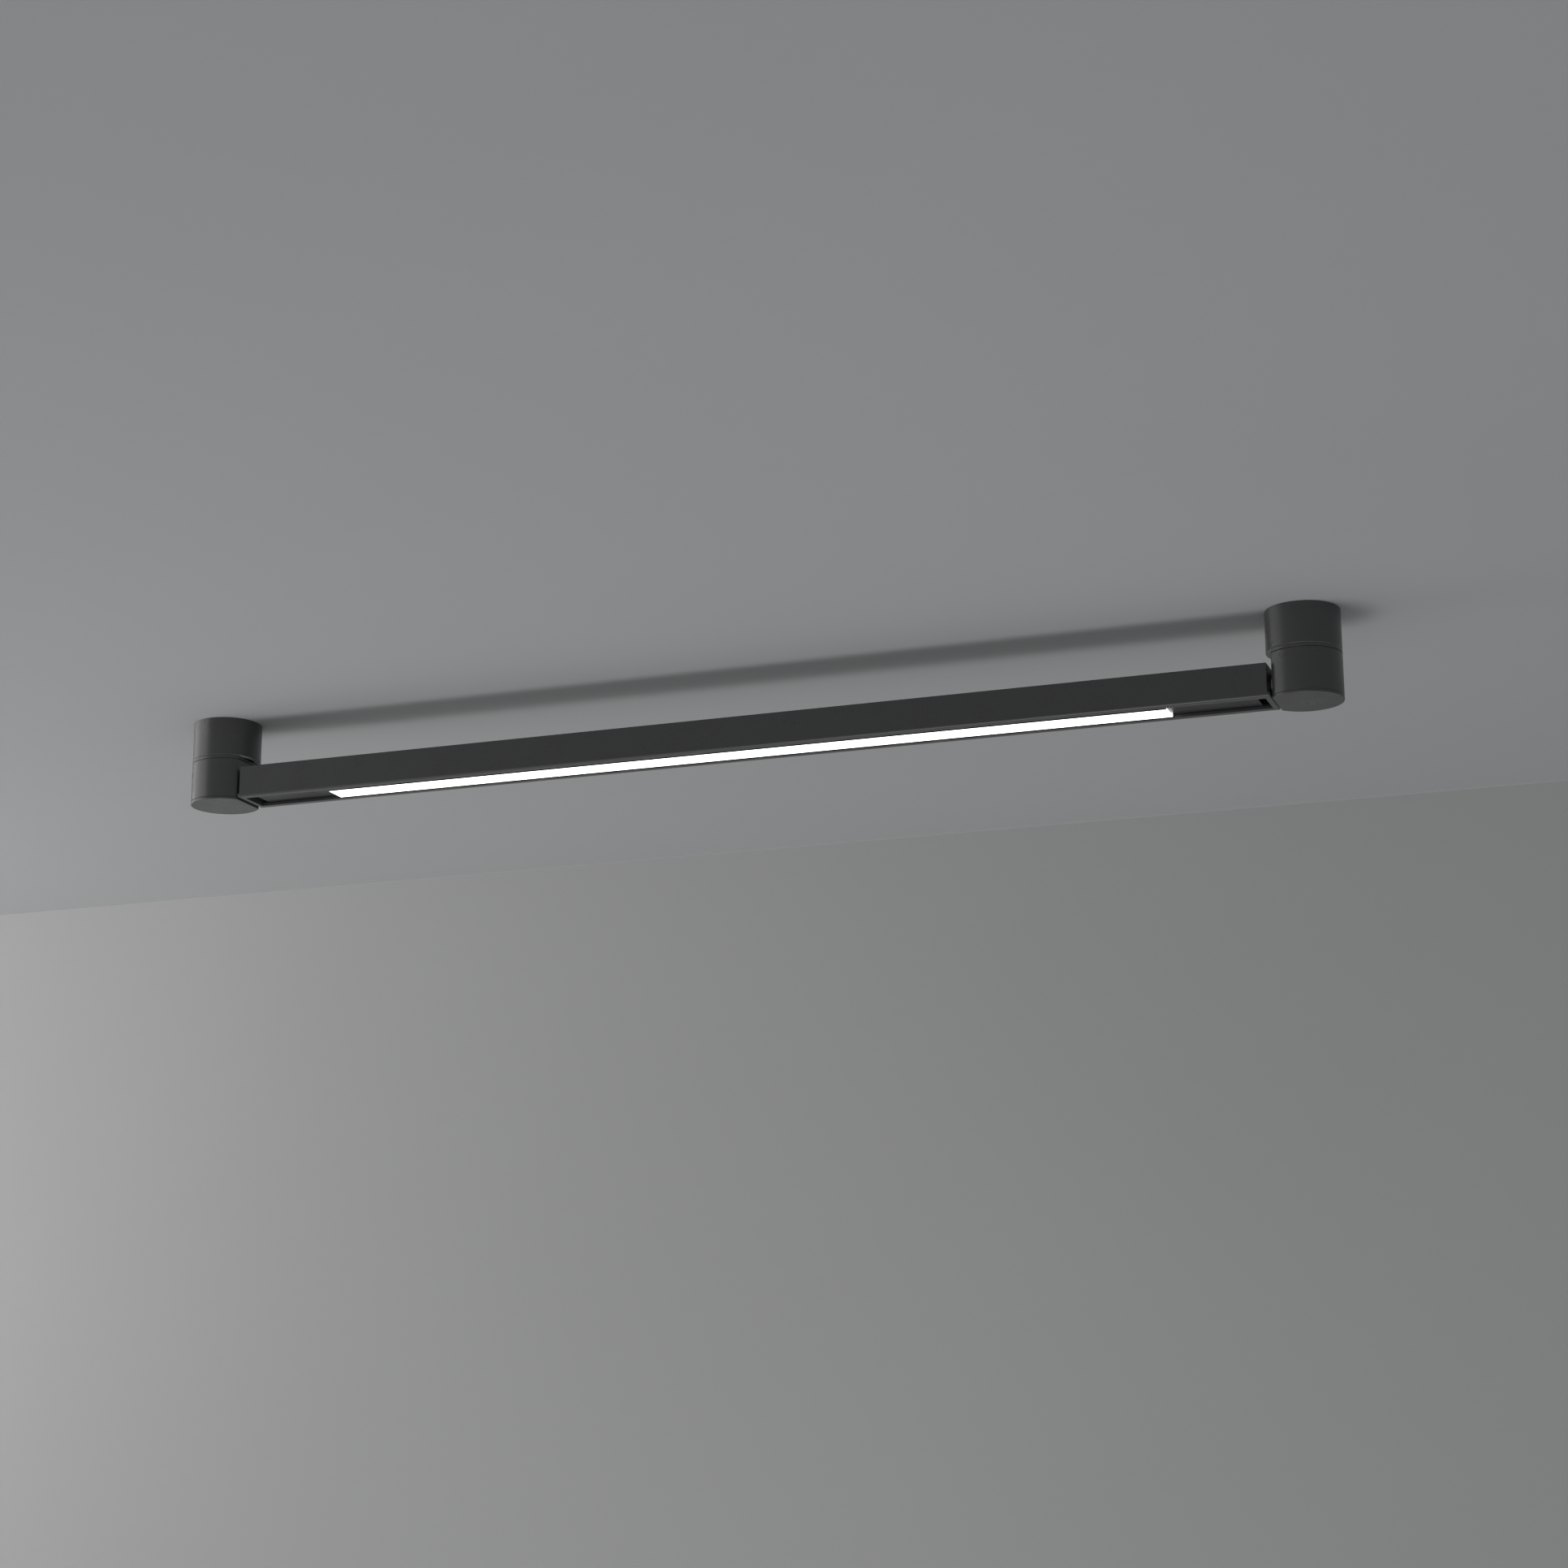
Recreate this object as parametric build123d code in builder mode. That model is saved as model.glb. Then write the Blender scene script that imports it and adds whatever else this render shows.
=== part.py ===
"""Ceiling luminaire: an LED bar held between two round swivel bases.

Millimetres, +Z up. The ceiling is the plane Z = 0 and the luminaire hangs below it.
The origin is the centre of base A's cable entry; base B stands base_pitch along +X.
Every piece of end A has a mirror-image twin at end B unless it says otherwise.
"""
from build123d import *
import os

os.makedirs("parts", exist_ok=True)

# ---------------------------------------------------------------- driving dimensions
# round bases
base_pitch = 1128.0        # swivel axis to swivel axis
body_dia = 70.0            # housing, collar and head share one outside diameter
housing_height = 39.5
housing_wall = 2.0
collar_height = 3.25
collar_wall = 1.5
collar_ledge = 1.0         # top of the collar, which rests on the head's rim
collar_rim_wall = 2.4
flange_width = 4.5         # inward flange at the foot of the housing
flange_thickness = 2.0
edge_round = 0.3           # softened outer edges of the coated pieces
seam_gap = 0.4             # shadow line above and below the collar
head_height = 40.05
head_wall = 2.5
head_top_wall = 3.0
head_flat_wall = 3.0
flat_cut = 8.3             # depth of the flat that faces the bar
cap_thickness = 2.7
cap_seam = 0.2

# bar
bar_width = 52.0
bar_height = 32.0
bar_rise = 1.5             # underside of the bar above the underside of the caps
bar_gap = 4.3              # flat of the head to the end of the bar
bar_wall = 2.0
lip_thickness = 2.8
window_width = 35.0        # opening between the two lips
bar_edge_radius = 2.0
bar_top_radius = 0.6
end_plate = 3.0
end_lip_gap = 1.9          # flat of the head to the end plate's lower lip
end_lip_drop = 2.6         # washers of the tilt joint to the end plate's lower lip
pocket_length = 9.0        # open end of the window before the cover strip starts

# light engine
unlit_end = 97.0           # end of the bar to the start of the lit window
lens_width = 26.2
lens_thickness = 1.8
lens_leg = 1.1
channel_wall = 0.8
channel_height = 9.4
channel_web = 1.2
wing_level = 4.8           # underside of the channel's wings above the bar's underside
wing_thickness = 1.2
strip_inset = 2.0          # edge of the window to the side of a cover strip
strip_thickness = 1.2
board_count = 3
board_end_gap = 16.0       # end of the lit window to the first board
board_side_gap = 2.1       # side of the lens to the side of a board
board_thickness = 1.6
led_pitch = 10.0
led_size = (3.5, 2.8, 0.7)
board_screw_inset = 15.0   # end of a board to its outer screws
board_screw_edge = 3.0     # side of a board to its screws
link_edge = 4.0            # other side of a board to the board links
plug_thickness = 2.0
plug_inset = 0.5           # end of the lit window to a channel plug
reflector_thickness = 0.5
reflector_inset = 0.15     # inside of the channel to a reflector

# driver and its tray
tray_gap = 1.6             # top of the light channel to the tray
tray_thickness = 1.2
tray_start = 60.0          # from the end of the bar
tray_tail = 122.0          # end of the driver to the end of the tray
driver_length = 280.0
driver_side_gap = 3.4      # side of the driver to the screw ports
driver_headroom = 1.8      # top of the driver to the roof of the bar
driver_start = 118.0       # from the end of the bar
driver_edge_radius = 1.2

# shafts, nuts and washers
shaft_dia = 10.0
shaft_bore = 7.0
shaft_chamfer = 0.4
thread_end = 1.0           # shaft beyond its nut
nut_wall = 2.0             # thread to a flat of the nut
nut_thickness = 5.0
plain_washer = 1.0
wave_washer = 0.8
washer_gap = 0.05
washer_width = 5.0         # shaft to the rim of a plain washer
wave_inset = 2.0           # rim of a plain washer to the rim of a wave washer
bush_wall = 2.0
bush_flange = 2.0
friction_washer = 1.0
stop_pin_dia = 3.0
pad_width = 4.0
boss_margin = 6.4          # stop pin circle to the rim of the swivel boss
web_drop = 20.0            # ceiling to the top of the housing's web
web_thickness = 3.0
tilt_limit = 22.0          # degrees each way
swivel_limit = 165.0       # degrees each way
tilt_stop_margin = 2.5     # rim of the washers to the centre of the tilt stop pin
swivel_stop_margin = 3.6   # shaft to the centre of the swivel stop pin
stop_depth = 3.5

# ceiling plate
plate_gap = 2.0            # rim of the plate to the bore of the housing
plate_thickness = 2.0
plate_rim_wall = 2.0
plate_depth = 12.0
bayonet_height = 2.0
bayonet_count = 3
bayonet_start = 30.0
bayonet_tab_width = 18.0
bayonet_lug_width = 15.0
cable_hole_dia = 18.0
slot_margin = 2.5          # end of a screw slot to the rim of the plate
slot_width = 4.5
slot_length = 9.0
lock_screw_dia = 4.0
lock_screw_drop = 5.0

# leads and terminal block
lead_dia = 4.5
output_lead_dia = 3.0
lead_hole_gap = 1.0        # round a lead, where it passes a plate
lead_joint_gap = 4.0       # tilt shaft to the split in the lead
lead_climb_gap = 10.0      # split in the lead to the start of its climb
lead_tray_gap = 4.0        # end of its climb to the tray
terminal_width = 28.0
terminal_height = 11.5
terminal_poles = 3
terminal_margin = 5.0      # far side of the block to the inside of the plate's rim
terminal_offset = 12.0     # swivel axis to the near side of the block
terminal_well_dia = 3.6
terminal_well_depth = 4.0

# clearances
running_clearance = 0.05   # radial, shaft in bush
thread_clearance = 0.05    # radial, screwed parts drawn without their threads
slide_clearance = 0.1      # pieces that slide or drop into each other
free_clearance = 0.3

# ---------------------------------------------------------------- derived levels
body_radius = body_dia / 2
shaft_radius = shaft_dia / 2
flat_offset = body_radius - flat_cut
collar_top = -(housing_height + seam_gap)
collar_bottom = collar_top - collar_height
head_top = collar_bottom - seam_gap
head_bottom = head_top - head_height
cap_top = head_bottom - cap_seam
cap_bottom = cap_top - cap_thickness
bar_bottom = cap_bottom + bar_rise
tilt_level = bar_bottom + bar_height / 2
bar_start = flat_offset + bar_gap
bar_end = base_pitch - bar_start
bar_middle = base_pitch / 2
housing_bore = body_radius - housing_wall
plate_radius = housing_bore - plate_gap
plate_inside_radius = plate_radius - plate_rim_wall
slot_pitch = 2 * (plate_inside_radius - slot_margin) - slot_length
nut_across_flats = shaft_dia + 2 * nut_wall
washer_dia = shaft_dia + 2 * washer_width
wave_washer_dia = washer_dia - 2 * wave_inset
bush_dia = shaft_dia + 2 * bush_wall
swivel_stop_radius = shaft_radius + swivel_stop_margin
tilt_stop_radius = washer_dia / 2 + tilt_stop_margin
boss_dia = 2 * (swivel_stop_radius + boss_margin)
end_lip_reach = bar_gap - end_lip_gap
end_lip_height = (bar_height - washer_dia) / 2 - end_lip_drop
end_lip_chamfer = end_lip_height / 4
channel_half = lens_width / 2 + slide_clearance + channel_wall
wing_top = wing_level + wing_thickness
cavity_half = bar_width / 2 - bar_wall
board_top = channel_height - channel_web
tray_level = channel_height + tray_gap
lit_start = bar_start + unlit_end
lit_length = base_pitch - 2 * lit_start
strip_width = window_width - 2 * strip_inset
board_width = lens_width - 2 * board_side_gap
board_length = (lit_length - 2 * board_end_gap) / board_count
strip_start = bar_start + end_plate + pocket_length

mid_plane = Plane.YZ.offset(bar_middle)
bar_plane = Plane.YZ       # sketch x is the object's Y, sketch y is its Z


def write(piece, name):
    """Label a finished piece and write its STEP file."""
    piece.part.label = name
    export_step(piece.part, f"parts/{name}.step")


def write_pair(piece, name):
    """Write a piece for end A, and its mirror image for end B."""
    write(piece, f"{name}_a")
    with BuildPart() as twin:
        mirror(piece.part, about=mid_plane)
    write(twin, f"{name}_b")


def d_outline(radius, flat):
    """Circle with one side cut straight at x = flat, drawn into the open sketch."""
    Circle(radius)
    with Locations((flat, 0)):
        Rectangle(2 * radius, 2 * radius, align=(Align.MIN, Align.CENTER), mode=Mode.SUBTRACT)


def washer(plane, thickness, outer, inner):
    """Flat ring that grows from the plane along its normal, added to the open part."""
    with BuildSketch(plane, mode=Mode.PRIVATE) as ring:
        Circle(outer / 2)
        Circle(inner / 2, mode=Mode.SUBTRACT)
    extrude(ring.sketch, amount=thickness)


def hex_nut(plane):
    """Hexagon lock nut that grows from the plane along its normal, added to the open part."""
    with BuildSketch(plane, mode=Mode.PRIVATE) as nut:
        RegularPolygon(nut_across_flats / 2, 6, major_radius=False)
        Circle(shaft_radius + thread_clearance, mode=Mode.SUBTRACT)
    extrude(nut.sketch, amount=nut_thickness)


# centre lines of the grooves that the stop pins run in
swivel_arc = CenterArc((0, 0), swivel_stop_radius, 180 - swivel_limit, 2 * swivel_limit)
tilt_arc = CenterArc((0, 0), tilt_stop_radius, 90 - tilt_limit, 2 * tilt_limit)

# ---------------------------------------------------------------- ceiling plate
tab_outer = housing_bore - 2 * slide_clearance
with BuildPart() as ceiling_plate:
    with BuildSketch(Plane.XY):
        Circle(plate_radius)
    extrude(amount=-plate_depth)
    with BuildSketch(Plane.XY.offset(-plate_thickness)):
        Circle(plate_inside_radius)
    extrude(amount=-plate_depth, mode=Mode.SUBTRACT)
    # bayonet tabs at the foot of the rim
    with BuildSketch(Plane.XY.offset(-plate_depth)):
        with PolarLocations(0, bayonet_count, start_angle=bayonet_start):
            Rectangle(tab_outer, bayonet_tab_width, align=(Align.MIN, Align.CENTER))
        Circle(tab_outer, mode=Mode.INTERSECT)
        Circle(plate_inside_radius, mode=Mode.SUBTRACT)
    extrude(amount=bayonet_height)
    # cable entry and the two slotted screw holes
    with BuildSketch(Plane.XY):
        Circle(cable_hole_dia / 2)
        with GridLocations(0, slot_pitch, 1, 2):
            SlotOverall(slot_length, slot_width, rotation=90)
    extrude(amount=-plate_thickness, mode=Mode.SUBTRACT)
write_pair(ceiling_plate, "ceiling_plate")

# ---------------------------------------------------------------- housing
lug_inner = plate_radius + free_clearance
with BuildPart() as housing:
    with BuildSketch(Plane.XY):
        Circle(body_radius)
        Circle(housing_bore, mode=Mode.SUBTRACT)
    extrude(amount=-housing_height)
    fillet(housing.edges().filter_by(GeomType.CIRCLE).group_by(SortBy.RADIUS)[-1], edge_round)
    with BuildSketch(Plane.XY.offset(-web_drop)):
        Circle(housing_bore)
    extrude(amount=-web_thickness)
    with BuildSketch(Plane.XY.offset(-web_drop)):
        Circle(boss_dia / 2)
    extrude(amount=collar_bottom + web_drop)
    # inward flange at the foot of the housing
    with BuildSketch(Plane.XY.offset(-housing_height)):
        Circle(housing_bore)
        Circle(housing_bore - flange_width, mode=Mode.SUBTRACT)
    extrude(amount=flange_thickness)
    # bayonet lugs that hang on the plate's tabs
    with BuildSketch(Plane.XY.offset(bayonet_height - plate_depth)):
        with PolarLocations(0, bayonet_count, start_angle=bayonet_start):
            Rectangle(housing_bore, bayonet_lug_width, align=(Align.MIN, Align.CENTER))
        Circle(housing_bore, mode=Mode.INTERSECT)
        Circle(lug_inner, mode=Mode.SUBTRACT)
    extrude(amount=bayonet_height)
    # bore for the swivel shaft and the groove that its stop pin runs in
    with BuildSketch(Plane.XY):
        Circle(shaft_radius + running_clearance)
    extrude(amount=collar_bottom, mode=Mode.SUBTRACT)
    with BuildSketch(Plane.XY.offset(collar_bottom)):
        SlotArc(swivel_arc, stop_pin_dia + 2 * free_clearance)
    extrude(amount=stop_depth, mode=Mode.SUBTRACT)
    # tapped hole for the lock screw, on the side away from the room
    with BuildSketch(Plane.XZ.offset(-plate_radius)):
        with Locations((0, -lock_screw_drop)):
            Circle(lock_screw_dia / 2 + thread_clearance)
    extrude(amount=-(body_radius - plate_radius), mode=Mode.SUBTRACT)
write_pair(housing, "housing")

with BuildPart() as lock_screw:
    with BuildSketch(Plane.XZ.offset(-plate_radius)):
        with Locations((0, -lock_screw_drop)):
            Circle(lock_screw_dia / 2)
    extrude(amount=-(body_radius - plate_radius - free_clearance))
    with BuildSketch(Plane.XZ.offset(-body_radius)):
        with Locations((0, -lock_screw_drop)):
            RegularPolygon(lock_screw_dia / 4, 6, major_radius=False)
    extrude(amount=lock_screw_dia / 2, mode=Mode.SUBTRACT)
write_pair(lock_screw, "lock_screw")

# ---------------------------------------------------------------- collar
# a trim ring that drops over a low rim on the head; both turn under the housing
collar_fit = collar_wall + slide_clearance
rim_inset = collar_fit + collar_rim_wall
with BuildPart() as collar:
    with BuildSketch(Plane.XY.offset(collar_bottom)):
        d_outline(body_radius, flat_offset)
    extrude(amount=collar_height)
    fillet(collar.edges(), edge_round)
    with BuildSketch(Plane.XY.offset(collar_bottom)):
        d_outline(body_radius - collar_wall, flat_offset - collar_wall)
    extrude(amount=collar_height - collar_ledge, mode=Mode.SUBTRACT)
    with BuildSketch(Plane.XY.offset(collar_bottom)):
        d_outline(body_radius - rim_inset, flat_offset - rim_inset)
    extrude(amount=collar_height, mode=Mode.SUBTRACT)
write_pair(collar, "collar_ring")

with BuildPart() as swivel_pad:
    washer(Plane.XY.offset(head_top), seam_gap, boss_dia, boss_dia - 2 * pad_width)
write_pair(swivel_pad, "swivel_friction_pad")

# ---------------------------------------------------------------- head
with BuildPart() as head:
    with BuildSketch(Plane.XY.offset(head_top)):
        d_outline(body_radius, flat_offset)
    extrude(amount=-head_height)
    fillet(head.edges(), edge_round)
    with BuildSketch(Plane.XY.offset(head_top - head_top_wall)):
        d_outline(body_radius - head_wall, flat_offset - head_flat_wall)
    extrude(amount=-head_height, mode=Mode.SUBTRACT)
    # low rim that carries the collar
    with BuildSketch(Plane.XY.offset(head_top)):
        d_outline(body_radius - collar_fit, flat_offset - collar_fit)
        with BuildSketch(mode=Mode.PRIVATE) as rim_inside:
            d_outline(body_radius - rim_inset, flat_offset - rim_inset)
        add(rim_inside.sketch, mode=Mode.SUBTRACT)
    extrude(amount=seam_gap + collar_height - collar_ledge)
    # swivel shaft and its stop pin
    with BuildSketch(Plane.XY.offset(head_top)):
        Circle(shaft_radius + thread_clearance)
        with Locations((-swivel_stop_radius, 0)):
            Circle(stop_pin_dia / 2)
    extrude(amount=-head_top_wall, mode=Mode.SUBTRACT)
    # bush seat and the arc slot for the tilt stop pin
    with BuildSketch(Plane.YZ.offset(flat_offset)):
        with Locations((0, tilt_level)):
            Circle(bush_dia / 2)
            SlotArc(tilt_arc, stop_pin_dia + 2 * free_clearance)
    extrude(amount=-head_flat_wall, mode=Mode.SUBTRACT)
write_pair(head, "head")

# ---------------------------------------------------------------- cap
# the spigot stops short of the tilt washers above it
cap_spigot = tilt_level - washer_dia / 2 - free_clearance - head_bottom
cap_spigot_wall = 2.4
seal_height = 0.37 * cap_spigot
seal_depth = 1.2
seal_level = head_bottom + (cap_spigot - seal_height) / 2
with BuildPart() as cap:
    with BuildSketch(Plane.XY.offset(cap_bottom)):
        d_outline(body_radius, flat_offset)
    extrude(amount=cap_thickness)
    fillet(cap.edges(), edge_round)
    with BuildSketch(Plane.XY.offset(cap_top)):
        d_outline(body_radius - head_wall - slide_clearance, flat_offset - head_flat_wall - slide_clearance)
    extrude(amount=cap_seam + cap_spigot)
    with BuildSketch(Plane.XY.offset(cap_top)):
        d_outline(
            body_radius - head_wall - cap_spigot_wall,
            flat_offset - head_flat_wall - cap_spigot_wall,
        )
    extrude(amount=cap_seam + cap_spigot, mode=Mode.SUBTRACT)
    with BuildSketch(Plane.XY.offset(seal_level)):
        d_outline(body_radius, flat_offset)
        with BuildSketch(mode=Mode.PRIVATE) as groove_floor:
            d_outline(body_radius - head_wall - seal_depth, flat_offset - head_flat_wall - seal_depth)
        add(groove_floor.sketch, mode=Mode.SUBTRACT)
    extrude(amount=seal_height, mode=Mode.SUBTRACT)
write_pair(cap, "head_cap")

with BuildPart() as cap_seal:
    with BuildSketch(Plane.XY.offset(seal_level)):
        d_outline(body_radius - head_wall, flat_offset - head_flat_wall)
        with BuildSketch(mode=Mode.PRIVATE) as seal_inside:
            d_outline(body_radius - head_wall - seal_depth, flat_offset - head_flat_wall - seal_depth)
        add(seal_inside.sketch, mode=Mode.SUBTRACT)
    extrude(amount=seal_height)
write_pair(cap_seal, "cap_seal")

# ---------------------------------------------------------------- swivel joint hardware
swivel_nut_level = -web_drop + plain_washer + washer_gap + wave_washer
swivel_shaft_top = swivel_nut_level + nut_thickness + thread_end
head_web_bottom = head_top - head_top_wall
swivel_shaft_bottom = head_web_bottom - nut_thickness - thread_end
swivel_shaft_length = swivel_shaft_top - swivel_shaft_bottom
with BuildPart() as swivel_shaft:
    washer(Plane.XY.offset(swivel_shaft_bottom), swivel_shaft_length, shaft_dia, shaft_bore)
    chamfer(swivel_shaft.edges().filter_by(GeomType.CIRCLE).sort_by(SortBy.RADIUS)[-2:], shaft_chamfer)
write_pair(swivel_shaft, "swivel_shaft")

with BuildPart() as swivel_nuts:
    hex_nut(Plane.XY.offset(swivel_nut_level))
    hex_nut(Plane.XY.offset(head_web_bottom - nut_thickness))
write_pair(swivel_nuts, "swivel_nuts")

with BuildPart() as swivel_washers:
    washer(Plane.XY.offset(-web_drop), plain_washer, washer_dia, shaft_dia + 2 * thread_clearance)
    washer(
        Plane.XY.offset(swivel_nut_level - wave_washer),
        wave_washer,
        wave_washer_dia,
        shaft_dia + 2 * thread_clearance,
    )
write_pair(swivel_washers, "swivel_washers")

with BuildPart() as swivel_stop:
    with BuildSketch(Plane.XY.offset(head_web_bottom)):
        with Locations((-swivel_stop_radius, 0)):
            Circle(stop_pin_dia / 2)
    extrude(amount=head_top_wall + seam_gap + stop_depth - free_clearance)
write_pair(swivel_stop, "swivel_stop_pin")

# ---------------------------------------------------------------- tilt joint hardware
head_flat_inside = flat_offset - head_flat_wall
bush_face = flat_offset + bush_flange
boss_face = bush_face + friction_washer
tilt_washer_face = head_flat_inside - plain_washer
tilt_nut_face = tilt_washer_face - washer_gap - wave_washer
tilt_shaft_start = tilt_nut_face - nut_thickness - thread_end
plate_inside = bar_start + end_plate
tilt_shaft_end = plate_inside + nut_thickness + 2 * thread_end


def tilt_plane(x):
    """Plane square to the tilt axis at x."""
    return Plane(origin=(x, 0, tilt_level), x_dir=(0, 1, 0), z_dir=(1, 0, 0))


bush_bore = shaft_dia + 2 * running_clearance
with BuildPart() as tilt_bush:
    washer(tilt_plane(head_flat_inside), bush_face - head_flat_inside, bush_dia, bush_bore)
    washer(tilt_plane(flat_offset), bush_flange, washer_dia, bush_bore)
write_pair(tilt_bush, "tilt_bush")

with BuildPart() as tilt_shaft:
    washer(tilt_plane(tilt_shaft_start), tilt_shaft_end - tilt_shaft_start, shaft_dia, shaft_bore)
    chamfer(tilt_shaft.edges().filter_by(GeomType.CIRCLE).sort_by(SortBy.RADIUS)[-2:], shaft_chamfer)
write_pair(tilt_shaft, "tilt_shaft")

with BuildPart() as tilt_nuts:
    hex_nut(tilt_plane(tilt_nut_face - nut_thickness))
    hex_nut(tilt_plane(plate_inside))
write_pair(tilt_nuts, "tilt_nuts")

with BuildPart() as tilt_washers:
    washer(tilt_plane(tilt_washer_face), plain_washer, washer_dia, shaft_dia + 2 * thread_clearance)
    washer(tilt_plane(tilt_nut_face), wave_washer, wave_washer_dia, shaft_dia + 2 * thread_clearance)
    washer(tilt_plane(bush_face), friction_washer, washer_dia, shaft_dia + 2 * thread_clearance)
write_pair(tilt_washers, "tilt_washers")

with BuildPart() as tilt_stop:
    with BuildSketch(tilt_plane(head_flat_inside + free_clearance)):
        with Locations((0, tilt_stop_radius)):
            Circle(stop_pin_dia / 2)
    extrude(amount=plate_inside - head_flat_inside - free_clearance)
write_pair(tilt_stop, "tilt_stop_pin")

# ---------------------------------------------------------------- bar profile
rib_height = 1.1
rib_reach = 1.6
port_radius = 3.0
port_bore = 1.25
port_inset = 2.6           # port centre to the cavity wall
port_floor = tray_level + tray_thickness + slide_clearance + rib_height
# the lower ports stand a sixth of the spare height above the ribs that hold the tray
port_spare = bar_height - bar_wall - port_floor - 4 * port_radius
port_low = port_floor + port_spare / 6 + port_radius
port_high = bar_height - bar_wall - port_inset
ledge_width = 2.0
ledge_inset = 2.5          # side of the window to the middle of a ledge
ledge_offset = window_width / 2 + ledge_inset
wing_side_gap = 0.5
wing_half = cavity_half - wing_side_gap

with BuildPart() as bar_profile:
    with BuildSketch(bar_plane.offset(bar_start + end_plate)) as section:
        with Locations((0, bar_bottom)):
            Rectangle(bar_width, bar_height, align=(Align.CENTER, Align.MIN))
        fillet(section.vertices().group_by(Axis.Y)[0], bar_edge_radius)
        fillet(section.vertices().group_by(Axis.Y)[-1], bar_top_radius)
        with Locations((0, bar_bottom + lip_thickness)):
            Rectangle(
                2 * cavity_half,
                bar_height - bar_wall - lip_thickness,
                align=(Align.CENTER, Align.MIN),
                mode=Mode.SUBTRACT,
            )
        with Locations((0, bar_bottom)):
            Rectangle(window_width, lip_thickness, align=(Align.CENTER, Align.MIN), mode=Mode.SUBTRACT)
        for side in (-1, 1):
            # ledges that carry the wings, and ribs that keep wings and tray down
            with Locations((side * ledge_offset, bar_bottom + lip_thickness)):
                Rectangle(ledge_width, wing_level - lip_thickness, align=(Align.CENTER, Align.MIN))
            rib_levels = (wing_top + slide_clearance, tray_level - rib_height)
            rib_levels += (tray_level + tray_thickness + slide_clearance,)
            for level in rib_levels:
                with Locations((side * (cavity_half - rib_reach / 2), bar_bottom + level)):
                    Rectangle(rib_reach, rib_height, align=(Align.CENTER, Align.MIN))
            for level in (port_low, port_high):
                with Locations((side * (cavity_half - port_inset), bar_bottom + level)):
                    Circle(port_radius)
                    Circle(port_bore, mode=Mode.SUBTRACT)
    extrude(amount=bar_end - bar_start - 2 * end_plate)
write(bar_profile, "bar_profile")

# ---------------------------------------------------------------- end plates
screw_head_dia = 5.6
screw_head_depth = 1.6
screw_length = 14.0
screw_shank = 1.2
screw_hole = 1.6
pan_head = 2.5
pan_head_height = 1.5
with BuildPart() as end_cap:
    with BuildSketch(bar_plane.offset(bar_start)) as end_section:
        with Locations((0, bar_bottom)):
            Rectangle(bar_width, bar_height, align=(Align.CENTER, Align.MIN))
        fillet(end_section.vertices().group_by(Axis.Y)[0], bar_edge_radius)
        fillet(end_section.vertices().group_by(Axis.Y)[-1], bar_top_radius)
    extrude(amount=end_plate)
    # lower lip that covers the slot beside the head from below
    with BuildSketch(bar_plane.offset(bar_start)) as lip_section:
        with Locations((0, bar_bottom)):
            Rectangle(bar_width, bar_height, align=(Align.CENTER, Align.MIN))
        fillet(lip_section.vertices().group_by(Axis.Y)[0], bar_edge_radius)
        with Locations((0, bar_bottom + end_lip_height)):
            Rectangle(bar_width, bar_height, align=(Align.CENTER, Align.MIN), mode=Mode.SUBTRACT)
    extrude(amount=-end_lip_reach)
    lip_edges = end_cap.faces().sort_by(Axis.X)[0].edges().filter_by(Axis.Y)
    chamfer(lip_edges.sort_by(Axis.Z)[:1], end_lip_chamfer)
    # boss that the friction washer bears on
    with BuildSketch(tilt_plane(boss_face)):
        Circle(washer_dia / 2)
    extrude(amount=bar_start - boss_face)
    with BuildSketch(tilt_plane(boss_face)):
        Circle(shaft_radius + thread_clearance)
        with Locations((0, tilt_stop_radius)):
            Circle(stop_pin_dia / 2)
    extrude(amount=plate_inside - boss_face, mode=Mode.SUBTRACT)
    port_y = cavity_half - port_inset
    for y_port in (-port_y, port_y):
        for level in (port_low, port_high):
            with Locations(Plane(origin=(bar_start, y_port, bar_bottom + level), z_dir=(-1, 0, 0))):
                CounterSinkHole(screw_hole, screw_head_dia / 2, depth=end_plate, counter_sink_angle=90)
write_pair(end_cap, "end_cap")

with BuildPart() as end_screws:
    for y_port in (-port_y, port_y):
        for level in (port_low, port_high):
            origin = (bar_start, y_port, bar_bottom + level)
            with BuildSketch(Plane(origin=origin, x_dir=(0, 1, 0), z_dir=(1, 0, 0))):
                Circle(screw_shank)
            extrude(amount=screw_length)
            with BuildSketch(Plane(origin=origin, x_dir=(0, 1, 0), z_dir=(1, 0, 0))):
                Circle(screw_head_dia / 2 - slide_clearance)
            extrude(amount=screw_head_depth, taper=45)
write_pair(end_screws, "end_cap_screws")

# ---------------------------------------------------------------- cover strips
strip_top = lip_thickness + strip_thickness
with BuildPart() as cover_strip:
    with BuildSketch(bar_plane.offset(strip_start)):
        with Locations((0, bar_bottom + lip_thickness)):
            Rectangle(strip_width, wing_top - lip_thickness, align=(Align.CENTER, Align.MIN))
        with Locations((0, bar_bottom + strip_top)):
            Rectangle(
                strip_width - 2 * strip_thickness,
                wing_top - strip_top,
                align=(Align.CENTER, Align.MIN),
                mode=Mode.SUBTRACT,
            )
        for side in (-1, 1):
            with Locations((side * (strip_width / 2 + wing_half) / 2, bar_bottom + wing_level)):
                Rectangle(wing_half - strip_width / 2, wing_thickness, align=(Align.CENTER, Align.MIN))
    extrude(amount=lit_start - slide_clearance - strip_start)
write_pair(cover_strip, "cover_strip")

# ---------------------------------------------------------------- light channel
leds_per_board = int((board_length + slide_clearance) // led_pitch)
first_led = bar_middle - led_pitch * (leds_per_board * board_count - 1) / 2
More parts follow.
